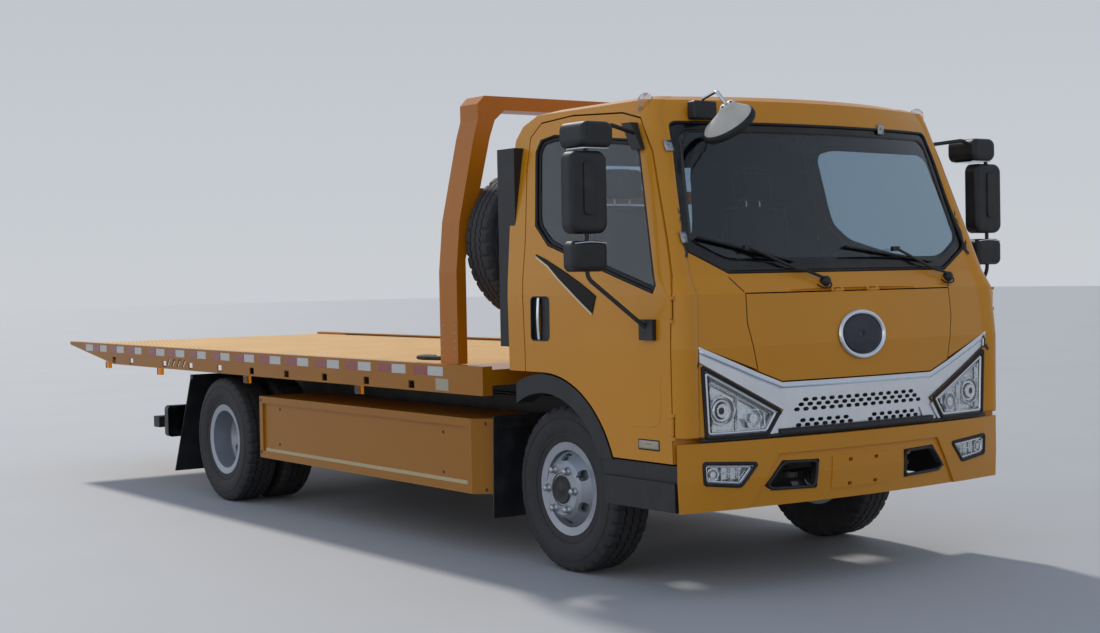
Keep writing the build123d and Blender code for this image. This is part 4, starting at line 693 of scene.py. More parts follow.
# %% Wheel nuts and valves
NUTS = 6
NUT_CIRCLE = 0.111
NUT_PROFILE = ((0.0215, 0.0), (0.0215, 0.004), (0.0165, 0.006), (0.0165, 0.024), (0.0135, 0.029),
               (0.007, 0.032), (0.0, 0.033))
OUTER_FACE = 0.1375
DISC_STEP = 0.012
VALVE_CIRCLE = 0.15
VALVE_ANGLE = 0.5
HUB_DISH = ((0.072, 0.0003), (0.070, 0.0035), (0.063, 0.0035), (0.058, 0.001), (0.022, 0.0008),
            (0.018, 0.004), (0.0, 0.005))
WHEELS = [(f"front_wheel_{tag}", ahead(0), side, FRONT_TYRE_Y + OUTER_FACE) for side, tag in SIDES]
WHEELS += [(f"rear_wheels_{tag}", ahead(-WHEELBASE), side, REAR_TYRES_Y[1] - OUTER_FACE + DISC_STEP)
           for side, tag in SIDES]
for body, x, side, face in WHEELS:
    for turn in range(NUTS):
        angle = math.radians(360 / NUTS * turn)
        seat = (x + NUT_CIRCLE * math.cos(angle), side * face, AXLE_HEIGHT + NUT_CIRCLE * math.sin(angle))
        turned(f"nut_{body}_{turn}", NUT_PROFILE, seat, (0, side, 0), zinc_steel, body,
               steps=18)
    if body.startswith("front"):
        turned(f"hub_dish_{body}", HUB_DISH, (x, side * face, AXLE_HEIGHT), (0, side, 0), black_plastic, body)
    valve_foot = Vector((x + VALVE_CIRCLE * math.cos(VALVE_ANGLE), side * (face - 0.03),
                         AXLE_HEIGHT + VALVE_CIRCLE * math.sin(VALVE_ANGLE)))
    valve_tip = valve_foot + Vector((0.012, side * 0.05, 0.008))
    bar(f"valve_{body}", [valve_foot, valve_tip], 0.0045, zinc_steel, body)
print("nuts and valves on", len(WHEELS), "wheels")

# %% [markdown]
# Outlines on the cab follow its curved skin, so they are drawn flat, from the front or from the side, and
# each point is then moved onto the skin by a ray. Between two outlines lies a band, such as the black
# ceramic frit baked onto the windscreen's edge, and along one outline runs a seal, which is a soft black
# cord of rubber pressed between pane and frame.

# %% Outlines on the skin
SHARPEST_CORNER = 0.4
MOST_OF_A_SIDE = 0.45
BAND_THICKNESS = 0.0012
PATCH_CORE = 0.02


def inset(outline, distance):
    """A closed outline moved inwards by a distance, corner by corner."""
    area = sum(a[0] * b[1] - b[0] * a[1] for a, b in zip(outline, outline[1:] + outline[:1]))
    turn = 1 if area > 0 else -1
    moved = []
    count = len(outline)
    for i in range(count):
        before, here, after = (Vector(outline[(i + k) % count]) for k in (-1, 0, 1))
        first = (here - before).normalized()
        second = (after - here).normalized()
        first_in = turn * Vector((-first.y, first.x))
        second_in = turn * Vector((-second.y, second.x))
        middle = (first_in + second_in).normalized()
        moved.append(here + middle * distance / max(SHARPEST_CORNER, middle.dot(first_in)))
    return [tuple(p) for p in moved]


def rounded(outline, radius, steps=4):
    """The outline with each corner cut by a short arc."""
    made = []
    count = len(outline)
    for i in range(count):
        before, here, after = (Vector(outline[(i + k) % count]) for k in (-1, 0, 1))
        to_before = before - here
        to_after = after - here
        reach = min(radius, MOST_OF_A_SIDE * to_before.length, MOST_OF_A_SIDE * to_after.length)
        start = here + to_before.normalized() * reach
        end = here + to_after.normalized() * reach
        for k in range(steps + 1):
            t = k / steps
            made.append(tuple((1 - t) ** 2 * start + 2 * t * (1 - t) * here + t * t * end))
    return made


def evenly(outline, spacing):
    """The same closed outline with points no further apart than the spacing."""
    made = []
    for a, b in zip(outline, outline[1:] + outline[:1]):
        a = Vector(a)
        b = Vector(b)
        parts = max(1, math.ceil((b - a).length / spacing))
        made += [tuple(a.lerp(b, k / parts)) for k in range(parts)]
    return made


def from_front(tree, y, z, lift):
    """The skin's place at this Y and Z, seen from the front and lifted off the skin."""
    place, way = meet(tree, (8, y, z), (-1, 0, 0))
    return place + way * lift


def from_side(tree, side, x, z, lift):
    """The skin's place at this X and Z, seen from the right (-1) or left (1) and lifted off the skin."""
    place, way = meet(tree, (x, side * 4, z), (0, -side, 0))
    return place + way * lift


def seal_on(name, tree, outline, radius, finish, body, side=0, lift=0.0, closed=True):
    """A cord laid along an outline, seen from the front, or from a side if one is given."""
    if side:
        points = [from_side(tree, side, u, v, lift) for u, v in outline]
    else:
        points = [from_front(tree, u, v, lift) for u, v in outline]
    return bar(name, points, radius, finish, body, closed=closed)


def band_on(name, tree, outer, inner, rows, lift, finish, body, side=0):
    """A thin band on the skin between two outlines with the same number of points."""
    points = []
    for row in range(rows + 1):
        share = row / rows
        for (a, b), (c, d) in zip(outer, inner):
            u = a + (c - a) * share
            v = b + (d - b) * share
            points.append(from_side(tree, side, u, v, lift) if side else from_front(tree, u, v, lift))
    faces = row_faces(rows + 1, len(outer), closed=True)
    band = new_mesh(name, points, faces, finish, body, smooth=True)
    return thicken(band, BAND_THICKNESS, outwards=True)


def middle_of(outline):
    """The mean of an outline's points."""
    return sum(p[0] for p in outline) / len(outline), sum(p[1] for p in outline) / len(outline)


def patch_on(name, tree, outline, lift, finish, body, side=0, rings=6):
    """A thin patch that fills an outline, by rings that shrink to its middle."""
    a, b = middle_of(outline)
    inner = [(a + (u - a) * PATCH_CORE, b + (v - b) * PATCH_CORE) for u, v in outline]
    return band_on(name, tree, outline, inner, rings, lift, finish, body, side)


SCREEN = [(-0.735, 1.486), (-0.940, 1.590), (-0.950, 1.620), (-0.872, 2.190), (-0.845, 2.208)]
SCREEN += [(-y, z) for y, z in reversed(SCREEN)]
print("the windscreen's outline has", len(evenly(SCREEN, 0.04)), "points")

# %% [markdown]
# The windscreen is glued in, and a black ceramic band, the frit, is baked onto its edge to hide
# the glue. The band is wide at the foot, where it also hides the wiper linkage. It is drawn as
# a thin skin 1 mm over the pane, between the opening's outline and a second one with larger
# corners. A rubber bead covers the joint.

# %% Windscreen frit, bead and clips
FRIT_INNER = [(-0.722, 1.556), (-0.868, 1.634), (-0.888, 1.668), (-0.822, 2.130), (-0.780, 2.158)]
FRIT_INNER += [(-y, z) for y, z in reversed(FRIT_INNER)]
PANE_STEP = 0.045


def matched(outer, inner, spacing):
    """Two outlines with as many points, split alike so that a band can join them."""
    pairs = list(zip(outer, inner))
    first = []
    second = []
    for (a, c), (b, d) in zip(pairs, pairs[1:] + pairs[:1]):
        parts = max(1, math.ceil((Vector(b) - Vector(a)).length / spacing))
        for k in range(parts):
            first.append(tuple(Vector(a).lerp(Vector(b), k / parts)))
            second.append(tuple(Vector(c).lerp(Vector(d), k / parts)))
    return first, second


frit_outer, frit_inner = matched(rounded(inset(SCREEN, 0.004), 0.012), rounded(FRIT_INNER, 0.07), PANE_STEP)
band_on("windscreen_frit", front_skin, frit_outer, frit_inner, 3, 0.001, gloss_black, "cab")
bead_line = evenly(rounded(inset(SCREEN, 0.006), 0.02), PANE_STEP)
seal_on("windscreen_bead", front_skin, bead_line, 0.0075, rubber_seal, "cab", lift=0.005)
CLIP_PLACES = ((-0.905, 2.085), (-0.945, 1.655), (0.44, 2.202))
CLIP_HALF = 0.026
for index, (y, z) in enumerate(CLIP_PLACES):
    corners = [(y + a * CLIP_HALF, z + b * CLIP_HALF) for a, b in ((-1, -1), (1, -1), (1, 1), (-1, 1))]
    patch_on(f"screen_clip_{index}", front_skin, corners, 0.010, zinc_steel, "cab", rings=2)
print("the frit has", len(frit_outer), "points round the screen")

# %% [markdown]
# Wiper arms are pressed steel, sprung towards the glass, and the blades are rubber in a thin steel spine. At
# rest they lie along the foot of the screen. Each point of an arm is a point of the glass, raised a little,
# so the wipers follow the screen's curve. The washer hoses end in a small hooked jet beside each spindle.

# %% Wipers
# Spindle, place where the arm holds the blade, and the blade's two ends, each as Y and Z
WIPERS = (
    ((-0.185, 1.438), (-0.608, 1.600), (-0.868, 1.653), (-0.339, 1.536)),
    ((0.716, 1.446), (0.357, 1.589), (0.018, 1.606), (0.626, 1.525)),
)
ARM_LIFT = 0.034
BLADE_LIFT = 0.018
RUBBER_LIFT = 0.007
SPINDLE = ((0.024, -0.004), (0.026, 0.016), (0.018, 0.032), (0.0, 0.036))
SPINDLE_AXIS = (0.9, 0, 0.44)
BLADE_CLIP_HALF = Vector((0.012, 0.024, 0.012))
# The hose's points, told from the spindle's foot
HOSE_STEPS = ((0.022, 0.012, 0.010), (0.032, 0.018, -0.014), (0.036, -0.014, -0.026),
              (0.034, -0.050, -0.022), (0.032, -0.074, -0.010))


def line_over(tree, start, end, lift_start, lift_end, count=9):
    """Points over the skin between two places seen from the front."""
    points = []
    for k in range(count):
        share = k / (count - 1)
        u = start[0] + (end[0] - start[0]) * share
        v = start[1] + (end[1] - start[1]) * share
        points.append(from_front(tree, u, v, lift_start + (lift_end - lift_start) * share))
    return points


for index, (spindle, hold, low_end, high_end) in enumerate(WIPERS):
    foot = from_front(front_skin, *spindle, 0.0)
    turned(f"wiper_spindle_{index}", SPINDLE, foot, SPINDLE_AXIS, black_plastic, "cab",
           steps=20)
    arm = line_over(front_skin, spindle, hold, 0.026, ARM_LIFT)
    bar(f"wiper_arm_{index}", arm, 0.0075, gloss_black, "cab")
    blade = line_over(front_skin, low_end, high_end, BLADE_LIFT, BLADE_LIFT, 13)
    bar(f"wiper_spine_{index}", blade, 0.0065, gloss_black, "cab")
    rubber_edge = line_over(front_skin, low_end, high_end, RUBBER_LIFT, RUBBER_LIFT, 13)
    bar(f"wiper_rubber_{index}", rubber_edge, 0.0045, rubber_seal, "cab")
    holder = (arm[-1] + from_front(front_skin, *hold, BLADE_LIFT)) / 2
    brick(f"wiper_clip_{index}", holder - BLADE_CLIP_HALF, holder + BLADE_CLIP_HALF, gloss_black, "cab",
          0.004)
    jet = [foot + Vector(step) for step in HOSE_STEPS]
    bar(f"washer_hose_{index}", jet, 0.0042, rubber_seal, "cab", bend=True)
print("wiper blades are", round((Vector(WIPERS[0][2]) - Vector(WIPERS[0][3])).length, 2), "m long")

# %% [markdown]
# The lid carries a round boss with a bright rim, and its face is plain dark enamel in a plated ring.
# From the front it is wider than high, so the ring is an ellipse laid on the lid's skin. The shut line above
# the lid runs on to the windscreen's corner as a pressed groove, drawn as a thin black bead that is painted
# shade for the groove.

# %% Boss and grooves on the nose
BOSS_MIDDLE = (0.006, 1.186)
BOSS_HALF = (0.158, 0.117)
COWL_GROOVE = ((0.692, 1.402), (0.742, 1.470))


def ellipse(middle, half, count=56):
    """Points round an ellipse of these half sizes."""
    return [(middle[0] + half[0] * math.cos(2 * math.pi * k / count),
             middle[1] + half[1] * math.sin(2 * math.pi * k / count))
            for k in range(count)]


face_outline = ellipse(BOSS_MIDDLE, (BOSS_HALF[0] - 0.022, BOSS_HALF[1] - 0.018))
ring_outline = ellipse(BOSS_MIDDLE, (BOSS_HALF[0] - 0.012, BOSS_HALF[1] - 0.010))
boss_outline = ellipse(BOSS_MIDDLE, BOSS_HALF)
patch_on("boss_plate", front_skin, boss_outline, 0.003, gloss_black, "lid")
boss_navy = moulded_plastic("navy_enamel_on_zinc", "#141B33", 0.2, 30, 0.02)
patch_on("boss_face", front_skin, face_outline, 0.008, boss_navy, "lid")
seal_on("boss_ring", front_skin, ring_outline, 0.0125, bright_plating, "lid", lift=0.006)
seal_on("boss_inner_ring", front_skin, face_outline, 0.003, bright_plating, "lid", lift=0.009)
for side in (-1, 1):
    start, end = ((side * y, z) for y, z in COWL_GROOVE)
    groove = line_over(front_skin, start, end, 0.0, 0.0, 5)
    # The black bead is painted shade in the pressed groove
    bar(f"cowl_groove_shade_{side}", groove, 0.0028, gloss_black, "cab")
print("boss", round(2 * BOSS_HALF[0], 3), "by", round(2 * BOSS_HALF[1], 3), "m")

# %% [markdown]
# The side windows drop into the doors. A black rubber channel runs round each opening and grips the glass,
# and its lips show as a dark frame about 25 mm wide. The band is laid on the glass from the side,
# with a bead along the opening's edge, and both ride on the door.

# %% Side window channels
WINDOW = [(-0.121, 1.742), (-0.186, 2.122), (-0.154, 2.182), (-0.034, 2.200), (0.610, 2.130), (0.672, 2.085),
          (0.888, 1.440), (0.866, 1.400), (0.005, 1.640)]
WINDOW = [(ahead(x), z) for x, z in WINDOW]
for side, skin, door_body in DOORS:
    channel_outer = rounded(inset(WINDOW, 0.004), 0.02)
    channel_inner = rounded(inset(WINDOW, 0.03), 0.05)
    channel_outer, channel_inner = matched(channel_outer, channel_inner, 0.06)
    band_on(f"{door_body}_glass_channel", skin, channel_outer, channel_inner, 2, 0.002, rubber_seal,
            door_body, side=side)
    lip = evenly(rounded(inset(WINDOW, 0.005), 0.02), 0.06)
    seal_on(f"{door_body}_glass_lip", skin, lip, 0.0065, rubber_seal, door_body, side=side,
            lift=0.010)
lip_length = sum((Vector(a) - Vector(b)).length for a, b in zip(lip, lip[1:]))
print("side window channel is", round(lip_length, 2), "m long")

# %% [markdown]
# A headlamp is an open housing of aluminised plastic with its bowls inside, closed by a clear acrylic
# cover. The housings and bowls are solids already, so they only need the bright finish. What is added is
# the projector lens in the outer bowl, the small bulb in the inner one, the light strip under the upper
# edge, the clear cover and the black gasket round it. The cover follows the nose, whose plan is one arc, so
# its depth is worked out, not measured.

# %% Headlamps
ARC_END = (1.045, 0.967)
ARC_CROWN = 1.113
ARC_RISE = ARC_CROWN - ARC_END[0]
ARC_RADIUS = (ARC_END[1] ** 2 + ARC_RISE ** 2) / (2 * ARC_RISE)
HEADLAMP = [(-0.937, 0.740), (-0.591, 0.740), (-0.515, 0.846), (-0.954, 1.070)]
LAMP_LIP = 0.013
COVER_DEPTH = 0.004
COVER_THICKNESS = 0.0025


def nose_skin(y, z):
    """How far ahead the nose's skin lies at this Y, below the lid's shut line; z is not used."""
    return ahead(ARC_CROWN - (ARC_RADIUS - math.sqrt(ARC_RADIUS ** 2 - y * y)))


def bowed_sheet(name, outline, skin, depth, finish, rings=5):
    """A thin sheet that fills an outline on the nose or bumper, at a depth behind its skin."""
    middle = Vector(middle_of(outline))
    points = []
    for ring in range(rings + 1):
        share = 1 - ring / (rings + 0.02)
        for u, v in outline:
            y, z = middle + (Vector((u, v)) - middle) * share
            points.append((skin(y, z) - depth, y, z))
    count = len(outline)
    faces = row_faces(rings + 1, count, closed=True)
    faces.append(tuple(rings * count + i for i in range(count)))
    return thicken(new_mesh(name, points, faces, finish, "cab", smooth=True), COVER_THICKNESS)


def edge_cord(name, outline, skin, depth, radius, finish):
    """A closed cord along an outline, at a depth behind the nose's or the bumper's skin."""
    points = [(skin(y, z) - depth, y, z) for y, z in evenly(outline, 0.05)]
    return bar(name, points, radius, finish, "cab", closed=True)


def facing_forward(name, profile, y, z, skin, depth, finish, steps=32):
    """A turned form that looks straight ahead from a depth behind the skin."""
    return turned(name, profile, (skin(y, z) - depth, y, z), (1, 0, 0), finish, "cab", steps=steps)


def upright_ribs(name, places, side, skin, half, finish, radius):
    """Thin walls that stand on a lamp's floor; each place is Y, foot and top."""
    for rib, (y, low, high) in enumerate(places):
        inner = skin(y, low) - RIB_DEPTH
        brick(f"{name}_{rib}", (inner, side * y - half, low), (inner + RIB_REACH, side * y + half, high),
              finish, "cab", radius)


RIB_DEPTH = 0.031
RIB_REACH = 0.020
LAMP_RIBS = ((0.752, 0.764, 0.915), (0.602, 0.764, 0.845), (0.915, 0.775, 1.000))
PROJECTOR = (0.838, 0.862)
PROJECTOR_RING = ((0.053, -0.004), (0.056, 0.004), (0.048, 0.014), (0.038, 0.006))
PROJECTOR_LENS = ((0.032, 0.0), (0.037, 0.006), (0.037, 0.012), (0.031, 0.013), (0.024, 0.018),
                  (0.013, 0.021), (0.0, 0.022))
MAIN_BEAM = (0.668, 0.818)
BULB = ((0.011, 0.0), (0.013, 0.006), (0.011, 0.016), (0.005, 0.021), (0.0, 0.022))
GUIDE_PARTS = 10
opal_guide = plain_finish("opal_light_guide", "#F1EFE6", Roughness=0.3)
# Name, outer end, its run inwards and its fall, depth behind the skin, radius and finish
LIGHT_GUIDES = (
    ("light_guide", (0.935, 1.034), (0.385, 0.191), 0.014, 0.0055, opal_guide),
    ("indicator_guide", (0.930, 1.006), (0.350, 0.173), 0.020, 0.0045, bright_plating),
)
solids["front_lamps"].data.materials.clear()
solids["front_lamps"].data.materials.append(reflector)
for side, tag in SIDES:
    lamp = [(-side * y, z) for y, z in HEADLAMP]
    bowed_sheet(f"headlamp_cover_{tag}", rounded(inset(lamp, LAMP_LIP), 0.012), nose_skin, COVER_DEPTH,
                lamp_cover)
    edge_cord(f"headlamp_gasket_{tag}", rounded(inset(lamp, 0.003), 0.008), nose_skin, 0.0, 0.0095,
              rubber_seal)
    edge_cord(f"headlamp_bezel_{tag}", rounded(inset(lamp, 0.020), 0.01), nose_skin, 0.0035, 0.0075,
              satin_plating)
    facing_forward(f"projector_ring_{tag}", PROJECTOR_RING, side * PROJECTOR[0], PROJECTOR[1], nose_skin,
                   0.026, bright_plating)
    facing_forward(f"projector_lens_{tag}", PROJECTOR_LENS, side * PROJECTOR[0], PROJECTOR[1], nose_skin,
                   0.028, gloss_black)
    facing_forward(f"main_beam_bulb_{tag}", BULB, side * MAIN_BEAM[0], MAIN_BEAM[1], nose_skin, 0.030,
                   lamp_cover, steps=16)
    for name, (out, top), (run, fall), depth, radius, finish in LIGHT_GUIDES:
        line = [(side * (out - run * k / GUIDE_PARTS), top - fall * k / GUIDE_PARTS)
                for k in range(GUIDE_PARTS + 1)]
        bar(f"{name}_{tag}", [(nose_skin(y, z) - depth, y, z) for y, z in line], radius, finish, "cab")
    upright_ribs(f"reflector_rib_{tag}", LAMP_RIBS, side, nose_skin, 0.004, reflector, 0.0015)
print("the nose is an arc of", round(ARC_RADIUS, 2), "m radius")

# %% [markdown]
# The fog lamps sit in the bumper, whose skin leans with height, so its depth is read from a
# table of its sections. Each has a bulb bowl at its outer end and three upright dividers,
# behind a clear cover in a black gasket.

# %% Fog lamps
# Columns: height, where the front arc ends (X and Y), X at the middle
BUMPER_ROWS = ((0.405, 1.036, 0.940, 1.108), (0.545, 1.048, 0.955, 1.124), (0.720, 1.048, 0.955, 1.130))
FOG = [(-0.955, 0.632), (-0.657, 0.613), (-0.751, 0.509), (-0.949, 0.531)]
FOG_BULB_PLACE = (0.900, 0.574)
FOG_BULB = ((0.012, 0.0), (0.014, 0.006), (0.011, 0.014), (0.0, 0.018))
FOG_RIBS = ((0.850, 0.540, 0.608), (0.800, 0.532, 0.606), (0.755, 0.528, 0.603))
FOG_SHELF = (0.735, 0.86)


def bumper_skin(y, z):
    """How far ahead the bumper's skin lies at this place."""
    low, high = BUMPER_ROWS[:2] if z < BUMPER_ROWS[1][0] else BUMPER_ROWS[1:]
    share = (z - low[0]) / (high[0] - low[0])
    depths = []
    for _, arc_x, arc_y, crown in (low, high):
        rise = crown - arc_x
        radius = (arc_y ** 2 + rise ** 2) / (2 * rise)
        depths.append(crown - (radius - math.sqrt(radius ** 2 - y * y)))
    return ahead(depths[0] + (depths[1] - depths[0]) * share)


for side, tag in SIDES:
    lamp = [(-side * y, z) for y, z in FOG]
    bowed_sheet(f"fog_cover_{tag}", rounded(inset(lamp, LAMP_LIP), 0.01), bumper_skin, 0.006, lamp_cover)
    edge_cord(f"fog_gasket_{tag}", rounded(inset(lamp, 0.003), 0.012), bumper_skin, 0.0, 0.009, rubber_seal)
    edge_cord(f"fog_bezel_{tag}", rounded(inset(lamp, 0.018), 0.01), bumper_skin, 0.007, 0.0045,
              bright_plating)
    facing_forward(f"fog_bulb_{tag}", FOG_BULB, side * FOG_BULB_PLACE[0], FOG_BULB_PLACE[1], bumper_skin,
                   0.030, bright_plating, steps=18)
    upright_ribs(f"fog_rib_{tag}", FOG_RIBS, side, bumper_skin, 0.003, bright_plating, 0.001)
    shelf = bumper_skin(0.80, 0.57) - RIB_DEPTH
    low, high = sorted(side * y for y in FOG_SHELF)
    brick(f"fog_shelf_{tag}", (shelf, low, 0.571), (shelf + 0.016, high, 0.576), bright_plating, "cab",
          0.001)
print("fog lamps lie", round(bumper_skin(0.8, 0.57) - FRONT_AXLE, 3), "m ahead of the front axle")

# %% [markdown]
# Behind the band's holes lies the radiator's black screen, and a black strip fills the gap above the bumper
# as painted shade for that dark gap. The band's upper edge is folded back and catches the sky, so it is a
# bright lip of its own, its plating tinted blue as a painted reflection of the sky. The tow points sit deep
# in two openings of the bumper, each with a black moulded wall and a soft black edge; the walls' black is
# partly painted shade for the depth of the openings.

# %% Black backing behind the nose
brick("radiator_screen", (ahead(1.040), -0.46, 0.758), (ahead(1.046), 0.46, 0.902), black_plastic, "cab")
STRIP_ROWS = 24
NOSE_HALF = 0.966


def nose_strip(name, half, low, high, proud, finish):
    """A strip along the nose's skin, bowed with it."""
    points = []
    for k in range(STRIP_ROWS + 1):
        y = -half + 2 * half * k / STRIP_ROWS
        x = nose_skin(min(abs(y), NOSE_HALF), low) + proud
        points += [(x, y, low), (x, y, high)]
    strip = new_mesh(name, points, ladder_faces(STRIP_ROWS), finish, "cab", smooth=True)
    return thicken(strip, 0.004)


def liner(name, outline, front, back):
    """A black wall round an opening of the bumper, between two depths behind its skin."""
    points = [(bumper_skin(y, z) - depth, y, z) for depth in (front, back) for y, z in outline]
    faces = row_faces(2, len(outline), closed=True)
    return thicken(new_mesh(name, points, faces, black_plastic, "cab"), 0.002)


BAND_TOP = [(-0.966, 1.157), (-0.640, 1.027), (-0.503, 0.977), (0.503, 0.977), (0.640, 1.027), (0.966, 1.157)]
LIP_WIDTH = 0.027
LIP_STEP = 0.03
lip_line = [BAND_TOP[0]]
for a, b in zip(BAND_TOP, BAND_TOP[1:]):
    parts = math.ceil((b[0] - a[0]) / LIP_STEP)
    lip_line += [tuple(Vector(a).lerp(Vector(b), k / parts)) for k in range(1, parts + 1)]
lip_points = []
for y, z in lip_line:
    lip_points += [(nose_skin(y, z) - 0.003, y, z - 0.001), (nose_skin(y, z) + 0.004, y, z - LIP_WIDTH)]
lip_faces = ladder_faces(len(lip_line) - 1)
band_lip = new_mesh("band_upper_lip", lip_points, lip_faces, lip_plating_painted_sky, "cab", smooth=True)
thicken(band_lip, 0.003)
# This black strip is painted shade: it stands for the dark gap between the bumper and the cab
nose_strip("shade_strip_over_bumper", NOSE_HALF, 0.722, 0.741, 0.002, black_plastic)
nose_strip("strip_under_band", 0.520, 0.722, 0.761, 0.003, black_plastic)
TOW_OPENING = ((0.292, 0.604), (0.508, 0.610), (0.603, 0.502), (0.565, 0.478), (0.300, 0.470))
TOW_POCKET_TOP = (0.300, 0.560)
# The pockets' black tops and walls are moulded plastic, and their black is partly painted shade for the depth
# of the openings
for side in (-1, 1):
    low, high = sorted(side * y for y in TOW_POCKET_TOP)
    brick(f"tow_pocket_{side}_top", (ahead(1.056), low, 0.604), (ahead(1.082), high, 0.610), black_plastic,
          "cab")
    opening = [(side * y, z) for y, z in TOW_OPENING]
    edge_cord(f"tow_opening_edge_{side}", rounded(inset(opening, 0.006), 0.03), bumper_skin, 0.010, 0.008,
              black_plastic)
    liner(f"tow_opening_liner_{side}", inset(opening, 0.0015), 0.003, 0.046)
print("the black strip is", round(2 * NOSE_HALF, 2), "m wide")

# %% [markdown]
# The round mirror over the bumper has a pale moulded bowl that narrows to a neck, a thick
# rubber rim and a mirror that looks down and back. It is slung from a black bracket on the
# roof's edge by a bright strap. The solid gives its place; the bowl itself is turned a little
# to match the real one, as ovals that shrink to the neck.

# %% Front mirror
BOWL_MIDDLE = Vector((ahead(0.985), -0.700, 2.162))
BOWL_OUTWARD = Vector((0.112, -0.654, 0.750)).normalized()
BOWL_ALONG = Vector((0.49, 0.69, 0.53))
BOWL_ALONG = (BOWL_ALONG - BOWL_OUTWARD * BOWL_OUTWARD.dot(BOWL_ALONG)).normalized()
BOWL_ACROSS = BOWL_OUTWARD.cross(BOWL_ALONG)
BOWL_STEPS = 48


def bowl_rings(name, rings, finish, cap=True):
    """Ovals about the bowl's middle; a row is how far out, half length, half width and shift to the neck."""
    points = []
    for out, long_half, short_half, shift in rings:
        for k in range(BOWL_STEPS):
            angle = 2 * math.pi * k / BOWL_STEPS
            lengthwise = BOWL_ALONG * (shift + long_half * math.cos(angle))
            crosswise = BOWL_ACROSS * short_half * math.sin(angle)
            points.append(BOWL_MIDDLE + BOWL_OUTWARD * out + (lengthwise + crosswise))
    faces = row_faces(len(rings), BOWL_STEPS, closed=True)
    if cap:
        faces.append(tuple((len(rings) - 1) * BOWL_STEPS + k for k in range(BOWL_STEPS)))
    return new_mesh(name, points, faces, finish, "cab", smooth=True)


pale_plastic = moulded_plastic("pale_grey_abs", "#D3CDC4", 0.4, 3, 0.1)
bowl_skin = ((0.034, 0.124, 0.090, 0.0), (0.046, 0.118, 0.083, 0.003), (0.060, 0.098, 0.066, 0.011),
             (0.075, 0.074, 0.048, 0.020), (0.090, 0.052, 0.036, 0.028), (0.104, 0.040, 0.029, 0.033),
             (0.112, 0.036, 0.026, 0.034))
rim_skin = ((0.004, 0.122, 0.088, 0.0), (0.0, 0.130, 0.096, 0.0), (0.010, 0.135, 0.101, 0.0),
            (0.028, 0.134, 0.100, 0.0), (0.036, 0.128, 0.094, 0.0), (0.035, 0.118, 0.084, 0.0))
glass_skin = ((0.003, 0.122, 0.088, 0.0), (-0.004, 0.080, 0.058, 0.0), (-0.008, 0.03, 0.022, 0.0))
neck = BOWL_MIDDLE + BOWL_OUTWARD * bowl_skin[-1][0] + BOWL_ALONG * bowl_skin[-1][3]
header_x = meet(front_skin, (8, -0.705, 2.262), (-1, 0, 0))[0].x
strap_path = [neck, (ahead(0.920), -0.720, 2.330), (ahead(0.900), -0.719, 2.334),
              (ahead(0.800), -0.708, 2.311), (header_x + 0.02, -0.705, 2.295)]
mirror_pieces = [
    bowl_rings("front_mirror_bowl", bowl_skin, pale_plastic),
    bowl_rings("front_mirror_rim", rim_skin, rubber_seal, cap=False),
    bowl_rings("front_mirror_glass", glass_skin, mirror_glass),
    bar("front_mirror_strap", strap_path, 0.0085, bright_plating, "cab"),
    brick("front_mirror_bracket", (header_x - 0.006, -0.776, 2.215), (header_x + 0.055, -0.635, 2.302),
          black_plastic, "cab", 0.012),
]
NECK_SCREW = ((0.006, -0.002), (0.006, 0.003), (0.0, 0.004))
for side_step in (-0.022, 0.022):
    screw_seat = neck + BOWL_ALONG * side_step
    mirror_pieces.append(turned(f"neck_screw_{side_step}", NECK_SCREW, screw_seat, BOWL_OUTWARD, gloss_black,
                                "cab", steps=12))
for piece in mirror_pieces:
    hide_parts("front_mirror")
print("front mirror looks along", tuple(round(v, 2) for v in -BOWL_OUTWARD))

# %% [markdown]
# The door mirrors have black moulded housings with glass on the side that looks back. The long
# one carries a raised rib where its arm runs through, and the wide-angle one below it a bright
# lip. The kerb mirror's glass looks down.

# %% Door mirrors
def corners_of(low_u, high_u, low_v, high_v, radius):
    """A rectangle's outline with rounded corners."""
    return rounded([(low_u, low_v), (high_u, low_v), (high_u, high_v), (low_u, high_v)], radius, 5)


# Each glass: place, outer and inner edge, foot, top and corner radius
MIRROR_GLASS = ((0.688, -1.448, -1.262, 1.695, 2.040, 0.04), (0.690, -1.443, -1.267, 1.520, 1.636, 0.028))
KERB_GLASS = (ahead(0.615), ahead(0.765), -1.388, -1.232, 0.03)
MIRROR_RIB = (-1.392, -1.332, 1.765, 2.005, 0.018)
LIP_PARTS = 12
for side, _, door_body in DOORS:
    for index, (x, outer, inner, low, high, radius) in enumerate(MIRROR_GLASS):
        outline = [(-side * u, v) for u, v in corners_of(outer, inner, low, high, radius)]
        plate(f"{door_body}_mirror_glass_{index}", outline, ahead(x) - 0.0045, ahead(x) - 0.0005, "x",
              mirror_glass, door_body)
    kerb = [(u, -side * v) for u, v in corners_of(*KERB_GLASS)]
    plate(f"{door_body}_kerb_glass", kerb, 2.0655, 2.0695, "z", mirror_glass, door_body)
    rib = [(-side * u, v) for u, v in corners_of(*MIRROR_RIB)]
    rib_piece = plate(f"{door_body}_mirror_rib", rib, ahead(0.7665), ahead(0.776), "x", black_plastic,
                      door_body)
    soften(rib_piece, 0.004)
    lip = []
    for k in range(LIP_PARTS + 1):
        rise = 0.006 * math.sin(math.pi * k / LIP_PARTS)
        lip.append((ahead(0.7635), -side * (-1.440 + 0.175 * k / LIP_PARTS), 1.6365 + rise))
    bar(f"{door_body}_mirror_lip", lip, 0.003, bright_plating, door_body)
print("mirror glasses:", 2 * len(MIRROR_GLASS) + 2)

# %% [markdown]
# The door handle stands upright in a pocket. The pocket is lined with a black tray, so no paint
# is rubbed off by a hand, and the grip is one plated bar, bowed a little outwards. The tray's
# edge laps over the door's skin.

